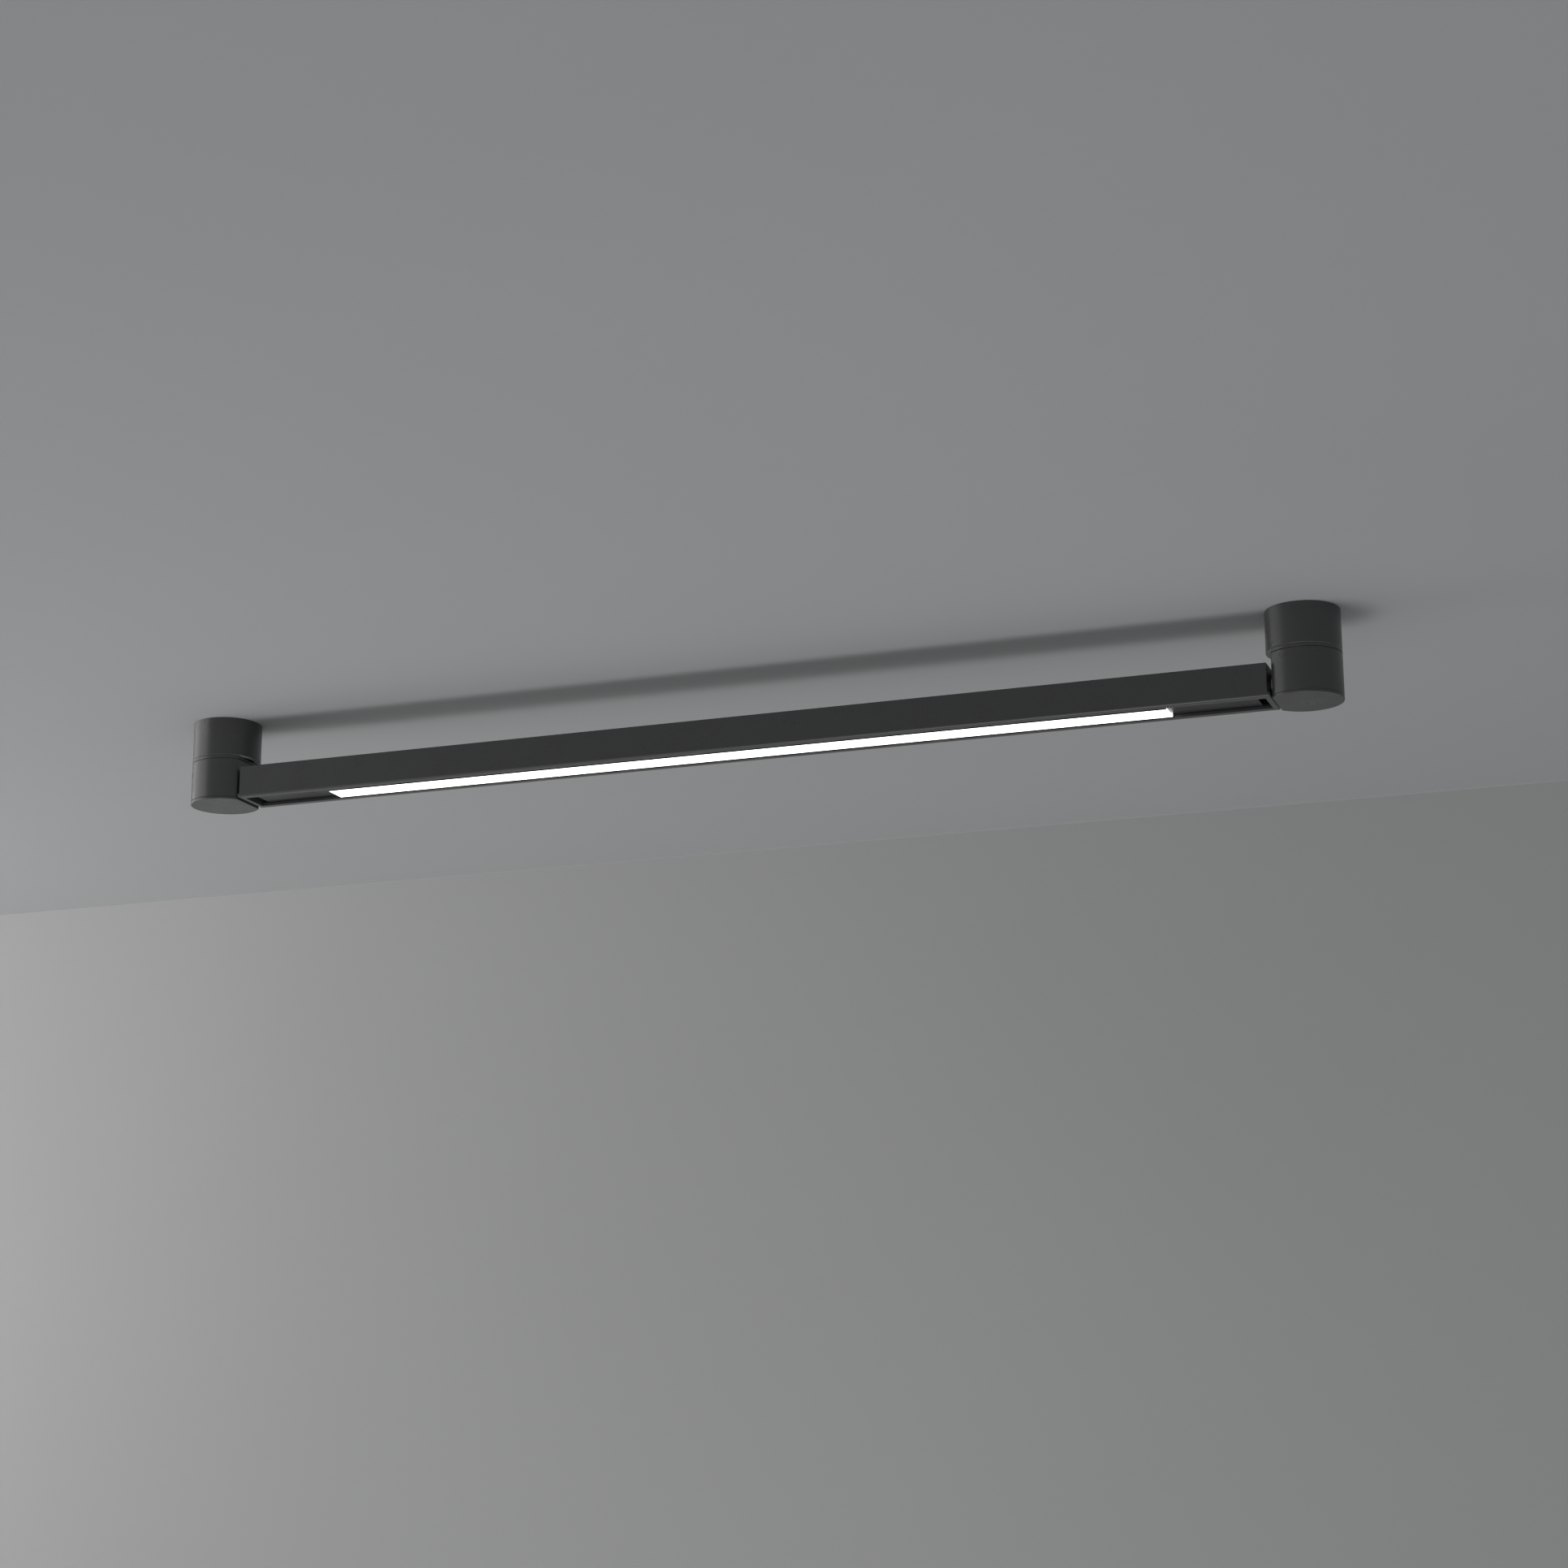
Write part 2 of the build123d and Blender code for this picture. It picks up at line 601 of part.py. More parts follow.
# the output lead drops half way between two LEDs, just past the end of the driver
output_reach = 16.0
leds_before_drop = (bar_start + driver_start + driver_length + output_reach - first_led) // led_pitch
output_x = first_led + led_pitch * (leds_before_drop + 0.5)
screw_offsets = (board_screw_inset, board_length / 2, board_length - board_screw_inset)
board_start = bar_middle - board_count * board_length / 2
board_starts = [board_start + i * board_length for i in range(board_count)]
board_screw_x = [x + offset for x in board_starts for offset in screw_offsets]
board_screw_y = board_width / 2 - board_screw_edge
with BuildPart() as light_channel:
    with BuildSketch(bar_plane.offset(lit_start)):
        with Locations((0, bar_bottom)):
            Rectangle(2 * channel_half, channel_height, align=(Align.CENTER, Align.MIN))
            Rectangle(
                2 * (channel_half - channel_wall),
                board_top,
                align=(Align.CENTER, Align.MIN),
                mode=Mode.SUBTRACT,
            )
        for side in (-1, 1):
            with Locations((side * (channel_half + wing_half) / 2, bar_bottom + wing_level)):
                Rectangle(wing_half - channel_half, wing_thickness, align=(Align.CENTER, Align.MIN))
    extrude(amount=lit_length)
    with BuildSketch(Plane.XY.offset(bar_bottom + board_top)):
        with Locations([(x, board_screw_y) for x in board_screw_x]):
            Circle(screw_shank + thread_clearance)
        with Locations((output_x, 0)):
            Circle(output_lead_dia / 2 + lead_hole_gap)
    extrude(amount=channel_web, mode=Mode.SUBTRACT)
write(light_channel, "light_channel")

leg_inside = lens_width / 2 - lens_leg
lens_leg_height = 5.0
with BuildPart() as diffuser:
    with BuildSketch(bar_plane.offset(lit_start)):
        with Locations((0, bar_bottom)):
            Rectangle(lens_width, lens_leg_height, align=(Align.CENTER, Align.MIN))
        with Locations((0, bar_bottom + lens_thickness)):
            Rectangle(2 * leg_inside, lens_leg_height, align=(Align.CENTER, Align.MIN), mode=Mode.SUBTRACT)
    extrude(amount=lit_length)
write(diffuser, "diffuser")

plug_start = lit_start + plug_inset
with BuildPart() as channel_plugs:
    for x_plug in (plug_start, base_pitch - plug_start - plug_thickness):
        with BuildSketch(bar_plane.offset(x_plug)):
            with Locations((0, bar_bottom + lens_thickness)):
                Rectangle(
                    2 * (leg_inside - slide_clearance),
                    board_top - lens_thickness,
                    align=(Align.CENTER, Align.MIN),
                )
        extrude(amount=plug_thickness)
write(channel_plugs, "channel_end_plugs")

reflector_start = plug_start + plug_thickness + plug_inset
reflector_y = channel_half - channel_wall - reflector_inset - reflector_thickness / 2
reflector_height = board_top - lens_leg_height - 2 * slide_clearance
with BuildPart() as reflectors:
    with BuildSketch(bar_plane.offset(reflector_start)):
        for side in (-1, 1):
            with Locations((side * reflector_y, bar_bottom + lens_leg_height + slide_clearance)):
                Rectangle(reflector_thickness, reflector_height, align=(Align.CENTER, Align.MIN))
    extrude(amount=base_pitch - 2 * reflector_start)
write(reflectors, "side_reflectors")

# ---------------------------------------------------------------- LED boards
board_bottom = board_top - board_thickness
for number, x_board in enumerate(board_starts, start=1):
    with BuildPart() as led_board:
        with BuildSketch(Plane.XY.offset(bar_bottom + board_bottom)):
            with Locations((x_board + board_length / 2, 0)):
                Rectangle(board_length - slide_clearance, board_width)
            with Locations([(x_board + offset, board_screw_y) for offset in screw_offsets]):
                Circle(screw_hole, mode=Mode.SUBTRACT)
            with Locations((output_x, 0)):
                Circle(output_lead_dia / 2, mode=Mode.SUBTRACT)
        extrude(amount=board_thickness)
    write(led_board, f"led_board_{number}")

with BuildPart() as led_chips:
    with BuildSketch(Plane.XY.offset(bar_bottom + board_bottom - led_size[2])):
        with Locations((bar_middle, 0)):
            with GridLocations(led_pitch, 0, leds_per_board * board_count, 1):
                Rectangle(led_size[0], led_size[1])
    extrude(amount=led_size[2])
write(led_chips, "led_chips")

link_size = (12.0, 5.0, 1.6)
with BuildPart() as board_links:
    with BuildSketch(Plane.XY.offset(bar_bottom + board_bottom - link_size[2])):
        with Locations((bar_middle, link_edge - board_width / 2)):
            with GridLocations(board_length, 0, board_count - 1, 1):
                Rectangle(link_size[0], link_size[1])
    extrude(amount=link_size[2])
write(board_links, "board_links")

with BuildPart() as board_screws:
    with BuildSketch(Plane.XY.offset(bar_bottom + board_bottom)):
        with Locations([(x, board_screw_y) for x in board_screw_x]):
            Circle(screw_shank)
    extrude(amount=board_thickness + channel_web)
    with BuildSketch(Plane.XY.offset(bar_bottom + board_bottom)):
        with Locations([(x, board_screw_y) for x in board_screw_x]):
            Circle(pan_head)
    extrude(amount=-pan_head_height)
write(board_screws, "board_screws")

# ---------------------------------------------------------------- gear tray and driver
x_tray = bar_start + tray_start
x_driver = bar_start + driver_start
tray_top = tray_level + tray_thickness
ear_length = 12.0
ear_thickness = 1.2
ear_step = 2.0             # side of the driver to the side of its ears
ear_margin = 3.2           # side of an ear to its screw
driver_width = 2 * (cavity_half - port_inset - port_radius - driver_side_gap)
driver_height = bar_height - bar_wall - tray_top - driver_headroom
tray_length = driver_start + driver_length + tray_tail - tray_start
ear_screw_y = driver_width / 2 - ear_step - ear_margin
ear_holes = [
    (x_driver + ear_length / 2, ear_screw_y),
    (x_driver + driver_length - ear_length / 2, -ear_screw_y),
]
with BuildPart() as gear_tray:
    with BuildSketch(Plane.XY.offset(bar_bottom + tray_level)):
        with Locations((x_tray + tray_length / 2, 0)):
            Rectangle(tray_length, 2 * (cavity_half - slide_clearance))
        with Locations(ear_holes):
            Circle(screw_shank + thread_clearance, mode=Mode.SUBTRACT)
        with Locations((output_x, 0)):
            Circle(output_lead_dia / 2 + lead_hole_gap, mode=Mode.SUBTRACT)
    extrude(amount=tray_thickness)
write(gear_tray, "gear_tray")

with BuildPart() as driver:
    with BuildSketch(Plane.XY.offset(bar_bottom + tray_top)):
        with Locations((x_driver + driver_length / 2, 0)):
            Rectangle(driver_length - 2 * ear_length, driver_width)
    extrude(amount=driver_height)
    fillet(driver.edges().filter_by(Axis.X), driver_edge_radius)
    with BuildSketch(Plane.XY.offset(bar_bottom + tray_top)):
        with Locations((x_driver + driver_length / 2, 0)):
            Rectangle(driver_length, driver_width - 2 * ear_step)
        with Locations(ear_holes):
            Circle(screw_hole, mode=Mode.SUBTRACT)
    extrude(amount=ear_thickness)
write(driver, "led_driver")

with BuildPart() as driver_screws:
    with BuildSketch(Plane.XY.offset(bar_bottom + tray_level)):
        with Locations(ear_holes):
            Circle(screw_shank)
    extrude(amount=tray_thickness + ear_thickness)
    with BuildSketch(Plane.XY.offset(bar_bottom + tray_top + ear_thickness)):
        with Locations(ear_holes):
            Circle(pan_head)
    extrude(amount=pan_head_height)
write(driver_screws, "driver_screws")

# ---------------------------------------------------------------- terminal block and leads
lead_drop = plate_thickness + lead_dia / 2 + lead_hole_gap
terminal_depth = plate_inside_radius - terminal_offset - terminal_margin
with BuildPart() as terminal_block:
    with BuildSketch(Plane.XY.offset(-plate_thickness)):
        with Locations((-terminal_offset - terminal_depth / 2, 0)):
            Rectangle(terminal_depth, terminal_width)
    extrude(amount=-terminal_height)
    with BuildSketch(Plane.XY.offset(-plate_thickness - terminal_height)):
        with Locations((-terminal_offset - terminal_depth / 2, 0)):
            with GridLocations(0, terminal_width / terminal_poles, 1, terminal_poles):
                Circle(terminal_well_dia / 2)
    extrude(amount=terminal_well_depth, mode=Mode.SUBTRACT)
write(terminal_block, "terminal_block")

base_bend = swivel_shaft_top + lead_drop
with BuildPart() as base_lead:
    with BuildLine(Plane.XZ) as base_route:
        Line((-terminal_offset, -lead_drop), (base_bend, -lead_drop))
        RadiusArc((base_bend, -lead_drop), (0, swivel_shaft_top), -base_bend)
    with BuildSketch(Plane(origin=(-terminal_offset, 0, -lead_drop), z_dir=(1, 0, 0))):
        Circle(lead_dia / 2)
    sweep()
write(base_lead, "base_lead")

head_bend = tilt_shaft_start - shaft_chamfer
lead_joint_x = tilt_shaft_end + lead_joint_gap
with BuildPart() as head_lead:
    with BuildLine(Plane.XZ) as head_route:
        Line((0, swivel_shaft_top), (0, tilt_level + head_bend))
        RadiusArc((0, tilt_level + head_bend), (head_bend, tilt_level), -head_bend)
        Line((head_bend, tilt_level), (lead_joint_x, tilt_level))
    with BuildSketch(Plane(origin=(0, 0, swivel_shaft_top), z_dir=(0, 0, -1))):
        Circle(lead_dia / 2)
    sweep()
write(head_lead, "head_lead")

# the lead climbs from the tilt axis to the middle of the driver's end before it meets the tray
input_level = bar_bottom + tray_top + driver_height / 2
climb_start = lead_joint_x + lead_climb_gap
climb_end = x_tray - lead_tray_gap
climb_middle = ((climb_start + climb_end) / 2, (tilt_level + input_level) / 2)
with BuildPart() as bar_lead:
    with BuildLine(Plane.XZ) as bar_route:
        Line((lead_joint_x, tilt_level), (climb_start, tilt_level))
        lower_arc = TangentArc((climb_start, tilt_level), climb_middle, tangent=(1, 0))
        TangentArc(climb_middle, (climb_end, input_level), tangent=lower_arc % 1)
        Line((climb_end, input_level), (x_driver + ear_length, input_level))
    with BuildSketch(tilt_plane(lead_joint_x)):
        Circle(lead_dia / 2)
    sweep()
write(bar_lead, "bar_lead")

output_drop = 5.0          # top of the driver to the output lead
output_bend = 8.0
output_level = bar_bottom + tray_top + driver_height - output_drop
output_start = x_driver + driver_length - ear_length
bend_start = (output_x - output_bend, output_level)
bend_end = (output_x, output_level - output_bend)
with BuildPart() as output_lead:
    with BuildLine(Plane.XZ) as output_route:
        Line((output_start, output_level), bend_start)
        RadiusArc(bend_start, bend_end, output_bend)
        Line(bend_end, (output_x, bar_bottom + board_bottom))
    with BuildSketch(Plane(origin=(output_start, 0, output_level), z_dir=(1, 0, 0))):
        Circle(output_lead_dia / 2 - thread_clearance)
    sweep()
write(output_lead, "output_lead")
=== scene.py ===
"""Looks of the ceiling linear luminaire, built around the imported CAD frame.

Metres, in the frame's own axes: the ceiling is z = 0, +X runs along the bar and the camera is on
the -Y side. The coated shells are the CAD nodes with finished materials. Threaded, stamped and moulded
pieces are new meshes that stand for the plain CAD solids, each placed from the CAD box of the node that
it replaces.
"""

import bpy
import math
from mathutils import Matrix, Vector


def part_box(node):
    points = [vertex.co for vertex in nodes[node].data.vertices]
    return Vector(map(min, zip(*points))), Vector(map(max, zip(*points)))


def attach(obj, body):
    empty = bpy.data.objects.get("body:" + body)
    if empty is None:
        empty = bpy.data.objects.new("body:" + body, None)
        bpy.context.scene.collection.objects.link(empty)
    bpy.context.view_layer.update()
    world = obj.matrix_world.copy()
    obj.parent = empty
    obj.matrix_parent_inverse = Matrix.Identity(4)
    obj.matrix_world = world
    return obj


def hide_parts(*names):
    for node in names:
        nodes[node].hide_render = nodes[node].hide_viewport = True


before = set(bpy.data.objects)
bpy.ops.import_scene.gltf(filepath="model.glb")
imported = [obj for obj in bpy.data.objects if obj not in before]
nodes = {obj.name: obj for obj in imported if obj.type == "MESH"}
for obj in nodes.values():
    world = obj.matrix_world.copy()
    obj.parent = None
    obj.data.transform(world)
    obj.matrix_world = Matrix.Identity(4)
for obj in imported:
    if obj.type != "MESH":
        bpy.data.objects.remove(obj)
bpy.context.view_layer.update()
MM = 0.001
TAU = 2 * math.pi


# ---------------------------------------------------------------- material helpers
class Surface:
    """A Principled material under construction, with object coordinates ready for its textures."""

    def __init__(self, name, colour, roughness, metallic=0.0, **sockets):
        self.material = bpy.data.materials.new(name)
        self.material.use_nodes = True
        self.tree = self.material.node_tree
        self.shader = self.tree.nodes["Principled BSDF"]
        self.shader.inputs["Base Color"].default_value = (*colour, 1)
        self.shader.inputs["Roughness"].default_value = roughness
        self.shader.inputs["Metallic"].default_value = metallic
        for socket, value in sockets.items():
            self.shader.inputs[socket.replace("_", " ")].default_value = value
        self.place = self.tree.nodes.new("ShaderNodeTexCoord").outputs["Object"]
        self.last_normal = None

    def link(self, source, target):
        self.tree.links.new(source, target)

    def stretched(self, scale):
        """Object coordinates scaled unevenly, for streaks and turning marks."""
        mapping = self.tree.nodes.new("ShaderNodeMapping")
        mapping.inputs["Scale"].default_value = scale
        self.link(self.place, mapping.inputs["Vector"])
        return mapping.outputs["Vector"]

    def noise(self, scale, detail=2.0, roughness=0.5, place=None):
        node = self.tree.nodes.new("ShaderNodeTexNoise")
        node.inputs["Scale"].default_value = scale
        node.inputs["Detail"].default_value = detail
        node.inputs["Roughness"].default_value = roughness
        self.link(place or self.place, node.inputs["Vector"])
        return node.outputs["Fac"]

    def cells(self, scale):
        node = self.tree.nodes.new("ShaderNodeTexVoronoi")
        node.inputs["Scale"].default_value = scale
        self.link(self.place, node.inputs["Vector"])
        return node.outputs["Distance"]

    def wave(self, scale, axis, distortion=0.0):
        node = self.tree.nodes.new("ShaderNodeTexWave")
        node.bands_direction = axis
        node.inputs["Scale"].default_value = scale
        node.inputs["Distortion"].default_value = distortion
        self.link(self.place, node.inputs["Vector"])
        return node.outputs["Fac"]

    def spread(self, value, low, high, from_low=0.3, from_high=0.7):
        """Map a texture's useful range to low..high."""
        node = self.tree.nodes.new("ShaderNodeMapRange")
        node.inputs["From Min"].default_value = from_low
        node.inputs["From Max"].default_value = from_high
        node.inputs["To Min"].default_value = low
        node.inputs["To Max"].default_value = high
        self.link(value, node.inputs["Value"])
        return node.outputs["Result"]

    def colours(self, value, *stops):
        """Colour ramp driven by a texture. Stops are (position, colour)."""
        ramp = self.tree.nodes.new("ShaderNodeValToRGB")
        elements = ramp.color_ramp.elements
        while len(elements) < len(stops):
            elements.new(0.5)
        for element, (position, colour) in zip(elements, stops):
            element.position = position
            element.color = (*colour, 1)
        self.link(value, ramp.inputs["Fac"])
        return ramp.outputs["Color"]

    def colour_from(self, value, *stops):
        self.link(self.colours(value, *stops), self.shader.inputs["Base Color"])

    def roughness_from(self, value, low, high):
        self.link(self.spread(value, low, high), self.shader.inputs["Roughness"])

    def split_by_height(self, level, below, above):
        """One colour under a level of Z, slightly metallic there, and another colour above it."""
        height = self.tree.nodes.new("ShaderNodeSeparateXYZ")
        self.link(self.place, height.inputs["Vector"])
        under = self.tree.nodes.new("ShaderNodeMath")
        under.operation = "LESS_THAN"
        under.inputs[1].default_value = level
        self.link(height.outputs["Z"], under.inputs[0])
        mix = self.tree.nodes.new("ShaderNodeMixRGB")
        self.link(under.outputs["Value"], mix.inputs["Fac"])
        self.link(above, mix.inputs["Color1"])
        self.link(below, mix.inputs["Color2"])
        self.link(mix.outputs["Color"], self.shader.inputs["Base Color"])
        metallic = self.spread(under.outputs["Value"], 0.0, PALE_FOOT_METALLIC, 0.0, 1.0)
        self.link(metallic, self.shader.inputs["Metallic"])

    def bump(self, height, strength, distance):
        node = self.tree.nodes.new("ShaderNodeBump")
        node.inputs["Strength"].default_value = strength
        node.inputs["Distance"].default_value = distance
        self.link(height, node.inputs["Height"])
        if self.last_normal:
            self.link(self.last_normal, node.inputs["Normal"])
        self.last_normal = node.outputs["Normal"]
        self.link(self.last_normal, self.shader.inputs["Normal"])


def shade(colour, factor):
    return tuple(min(1.0, c * factor) for c in colour)


def powder_coat(name, colour, roughness, pale_below=None):
    """Fine matte powder coat: orange peel, dense fleck, faint cloud. Below a level it is pale grey and
    faintly metallic.
    """
    s = Surface(name, colour, roughness, Specular_IOR_Level=0.5)
    fleck = s.noise(2600, detail=3, roughness=0.65)
    coated = s.colours(fleck, (0.25, shade(colour, 0.72)), (0.5, colour), (0.78, shade(colour, 1.4)))
    if pale_below is None:
        s.link(coated, s.shader.inputs["Base Color"])
    else:
        # under the level: pale grey with fine bands along X, in place of the dark coat
        pale_band = s.colours(s.wave(520, "X", distortion=3), (0.2, shade(PALE_FOOT_GREY, 0.9)), (0.8, PALE_FOOT_GREY))
        s.split_by_height(pale_below, pale_band, coated)
    s.roughness_from(s.noise(34, detail=4), roughness - 0.05, roughness + 0.06)
    s.bump(s.noise(620, detail=2), 0.22, 0.06 * MM)
    s.bump(s.noise(3400, detail=2, roughness=0.7), 0.3, 0.02 * MM)
    return s.material


def opal_lens(name):
    """Lit opal acrylic: even, a touch brighter above each LED, with fine pigment grain."""
    s = Surface(name, (0.93, 0.93, 0.9), 0.38, Emission_Strength=LENS_GLOW)
    grain = s.noise(900, detail=3)
    s.colour_from(grain, (0.3, (0.88, 0.88, 0.86)), (0.7, (0.95, 0.95, 0.93)))
    cloud = s.wave(LED_WAVE, "X", distortion=0.4)
    warm = s.colours(cloud, (0.0, (0.96, 0.955, 0.93)), (1.0, (1.0, 0.995, 0.975)))
    s.link(warm, s.shader.inputs["Emission Color"])
    s.bump(grain, 0.1, 0.01 * MM)
    return s.material


def zinc(name):
    """Bright zinc plate: cloudy passivation with a faint blue and straw tint over a rolled grain."""
    s = Surface(name, (0.62, 0.63, 0.65), 0.34, metallic=1.0)
    cloud = s.noise(85, detail=5, roughness=0.6)
    s.colour_from(cloud, (0.25, (0.50, 0.53, 0.58)), (0.5, (0.63, 0.64, 0.66)), (0.78, (0.70, 0.67, 0.58)))
    s.roughness_from(s.noise(420, detail=4), 0.24, 0.46)
    s.bump(s.noise(1500, detail=3), 0.2, 0.02 * MM)
    return s.material


def turned_metal(name, dark, light, roughness, axis):
    """Metal with turning marks square to the axis."""
    s = Surface(name, light, roughness, metallic=1.0)
    s.colour_from(s.noise(260, detail=4), (0.3, dark), (0.7, light))
    s.roughness_from(s.noise(900, detail=3), roughness - 0.07, roughness + 0.1)
    s.bump(s.wave(620, axis, distortion=1.2), 0.16, 0.02 * MM)
    return s.material


def oxide_steel(name):
    """Blackened steel with an oily, uneven sheen."""
    s = Surface(name, (0.035, 0.035, 0.038), 0.38, metallic=0.85)
    s.colour_from(s.noise(300, detail=5), (0.3, (0.018, 0.018, 0.02)), (0.75, (0.07, 0.068, 0.066)))
    s.roughness_from(s.noise(700, detail=3), 0.28, 0.5)
    s.bump(s.noise(1900, detail=2), 0.2, 0.015 * MM)
    return s.material


def mill_aluminium(name):
    """Rolled aluminium with long streaks along the bar."""
    s = Surface(name, (0.78, 0.79, 0.8), 0.32, metallic=1.0)
    streak = s.noise(60, detail=5, place=s.stretched((0.6, 30, 30)))
    s.colour_from(streak, (0.3, (0.66, 0.67, 0.69)), (0.7, (0.82, 0.83, 0.84)))
    s.roughness_from(streak, 0.24, 0.42)
    s.bump(streak, 0.15, 0.02 * MM)
    return s.material


def white_lacquer(name):
    s = Surface(name, (0.86, 0.86, 0.85), 0.6)
    s.colour_from(s.noise(140, detail=4), (0.3, (0.80, 0.80, 0.78)), (0.7, (0.88, 0.88, 0.87)))
    s.roughness_from(s.noise(600, detail=2), 0.52, 0.7)
    s.bump(s.noise(1300, detail=2), 0.2, 0.03 * MM)
    return s.material


def solder_mask(name):
    """White solder mask with the copper tracks showing through as faint raised bands."""
    s = Surface(name, (0.88, 0.88, 0.86), 0.33, Coat_Weight=0.25, Coat_Roughness=0.2)
    tracks = s.wave(52, "Y", distortion=0.0)
    s.colour_from(tracks, (0.42, (0.90, 0.90, 0.88)), (0.5, (0.82, 0.83, 0.80)), (0.56, (0.90, 0.90, 0.88)))
    s.roughness_from(s.noise(800, detail=3), 0.27, 0.42)
    s.bump(tracks, 0.25, 0.03 * MM)
    s.bump(s.noise(2100, detail=2), 0.12, 0.01 * MM)
    return s.material


def phosphor(name):
    """Phosphor gel, lit, with visible grain."""
    s = Surface(name, (0.95, 0.83, 0.35), 0.3, Emission_Strength=1.5)
    grain = s.cells(3800)
    s.colour_from(grain, (0.1, (0.97, 0.88, 0.46)), (0.7, (0.88, 0.70, 0.22)))
    warm = s.colours(grain, (0.1, (1.0, 0.95, 0.78)), (0.7, (1.0, 0.88, 0.6)))
    s.link(warm, s.shader.inputs["Emission Color"])
    s.bump(grain, 0.2, 0.01 * MM)
    return s.material


def moulded(name, colour, roughness, grain=1100, **sockets):
    """Moulded plastic or rubber: spark-eroded grain and slow colour drift."""
    s = Surface(name, colour, roughness, **sockets)
    s.colour_from(s.noise(70, detail=4), (0.3, shade(colour, 0.9)), (0.7, shade(colour, 1.07)))
    s.roughness_from(s.noise(grain / 3, detail=3), roughness - 0.07, roughness + 0.09)
    s.bump(s.noise(grain, detail=3, roughness=0.6), 0.3, 0.025 * MM)
    return s.material


# ---------------------------------------------------------------- materials
LENS_GLOW = 3.0
LED_WAVE = 1000 / 10 / 3.1831     # wave texture scale for one band each 10 mm LED pitch
GRAPHITE = (0.059, 0.0593, 0.0605)
# pale grey of the housing under its foot level, and how metallic it is there
PALE_FOOT_GREY = (0.80, 0.805, 0.81)
PALE_FOOT_METALLIC = 0.12
HOUSING_FOOT = -0.03945           # the turned foot of the housing lies just under this level

coat = powder_coat("graphite_coat", GRAPHITE, 0.3)
housing_coat = powder_coat("graphite_coat_pale_foot", GRAPHITE, 0.3, pale_below=HOUSING_FOOT)
strip_coat = powder_coat("strip_coat", (0.009, 0.009, 0.0095), 0.34)
channel_coat = powder_coat("channel_coat", (0.018, 0.018, 0.019), 0.5)
lens_glow = opal_lens("opal_lit")
zinc_plate = zinc("zinc_plate")
brass_up = turned_metal("turned_brass_upright", (0.55, 0.40, 0.17), (0.74, 0.58, 0.30), 0.3, "Z")
brass_along = turned_metal("turned_brass_along", (0.55, 0.40, 0.17), (0.74, 0.58, 0.30), 0.3, "X")
pin_steel = turned_metal("ground_steel", (0.42, 0.43, 0.45), (0.62, 0.63, 0.65), 0.24, "Z")
black_steel = oxide_steel("black_oxide_steel")
aluminium = mill_aluminium("mill_aluminium")
lacquer = white_lacquer("white_lacquer")
mask_white = solder_mask("white_solder_mask")
led_gel = phosphor("lit_phosphor")
nylon = moulded("white_nylon", (0.86, 0.86, 0.84), 0.36, grain=800, Subsurface_Weight=0.1)
ceramic = moulded("led_body_white", (0.88, 0.88, 0.87), 0.45, grain=2600)
case_plastic = moulded("driver_polycarbonate", (0.80, 0.81, 0.80), 0.48, grain=1500)
acetal = moulded("black_acetal", (0.020, 0.020, 0.021), 0.34, grain=1200)
rubber = moulded("black_silicone", (0.018, 0.018, 0.019), 0.68, grain=900, Sheen_Weight=0.15)
sheath = moulded("white_silicone_sheath", (0.80, 0.80, 0.77), 0.5, grain=900, Subsurface_Weight=0.08)
red_sheath = moulded("red_sheath", (0.50, 0.035, 0.03), 0.46, grain=900)
terminal_resin = moulded("terminal_resin", (0.80, 0.78, 0.68), 0.42, grain=1000)


# ---------------------------------------------------------------- mesh helpers
def new_piece(name, points, faces, material, body, replaced=(), smooth_angle=34):
    """Make a mesh piece in the row frame, ride it on its body and hide the CAD nodes that it replaces."""
    mesh = bpy.data.meshes.new(name)
    mesh.from_pydata([tuple(p) for p in points], [], faces)
    mesh.validate()
    piece = bpy.data.objects.new(name, mesh)
    bpy.context.scene.collection.objects.link(piece)
    for one in material if isinstance(material, (list, tuple)) else [material]:
        mesh.materials.append(one)
    mesh.shade_smooth()
    mesh.set_sharp_from_angle(angle=math.radians(smooth_angle))
    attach(piece, body)
    if replaced:
        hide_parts(*replaced)
    return piece


class Builder:
    """Collects rings and patches of a piece, each with its own placing and material number."""

    def __init__(self):
        self.points, self.faces, self.numbers = [], [], []

    def add(self, points, faces, place=Matrix.Identity(4), number=0):
        first = len(self.points)
        self.points += [place @ Vector(p) for p in points]
        flipped = place.determinant() < 0
        for face in faces:
            moved = [first + i for i in face]
            self.faces.append(moved[::-1] if flipped else moved)
            self.numbers.append(number)

    def grid(self, rings, place=Matrix.Identity(4), number=0, closed_ends=False, loop=False):
        """Skin a list of equal closed rings. loop joins the last ring to the first one."""
        count = len(rings[0])
        points = [p for ring in rings for p in ring]
        faces = []
        last = len(rings) if loop else len(rings) - 1
        for i in range(last):
            j = (i + 1) % len(rings)
            for k in range(count):
                m = (k + 1) % count
                faces.append((i * count + k, i * count + m, j * count + m, j * count + k))
        if closed_ends:
            faces.append(tuple(range(count))[::-1])
            faces.append(tuple((len(rings) - 1) * count + k for k in range(count)))
        self.add(points, faces, place, number)

    def finish(self, name, material, body, replaced=(), smooth_angle=34):
        piece = new_piece(name, self.points, self.faces, material, body, replaced, smooth_angle)
        piece.data.polygons.foreach_set("material_index", self.numbers)
        return piece


def ring_of(radius, level, steps):
    """Closed ring about the local Z axis. radius and level are numbers or functions of the angle."""
    ring = []
    for k in range(steps):
        angle = TAU * k / steps
        r = radius(angle) if callable(radius) else radius
        z = level(angle) if callable(level) else level
        ring.append((r * math.cos(angle), r * math.sin(angle), z))
    return ring


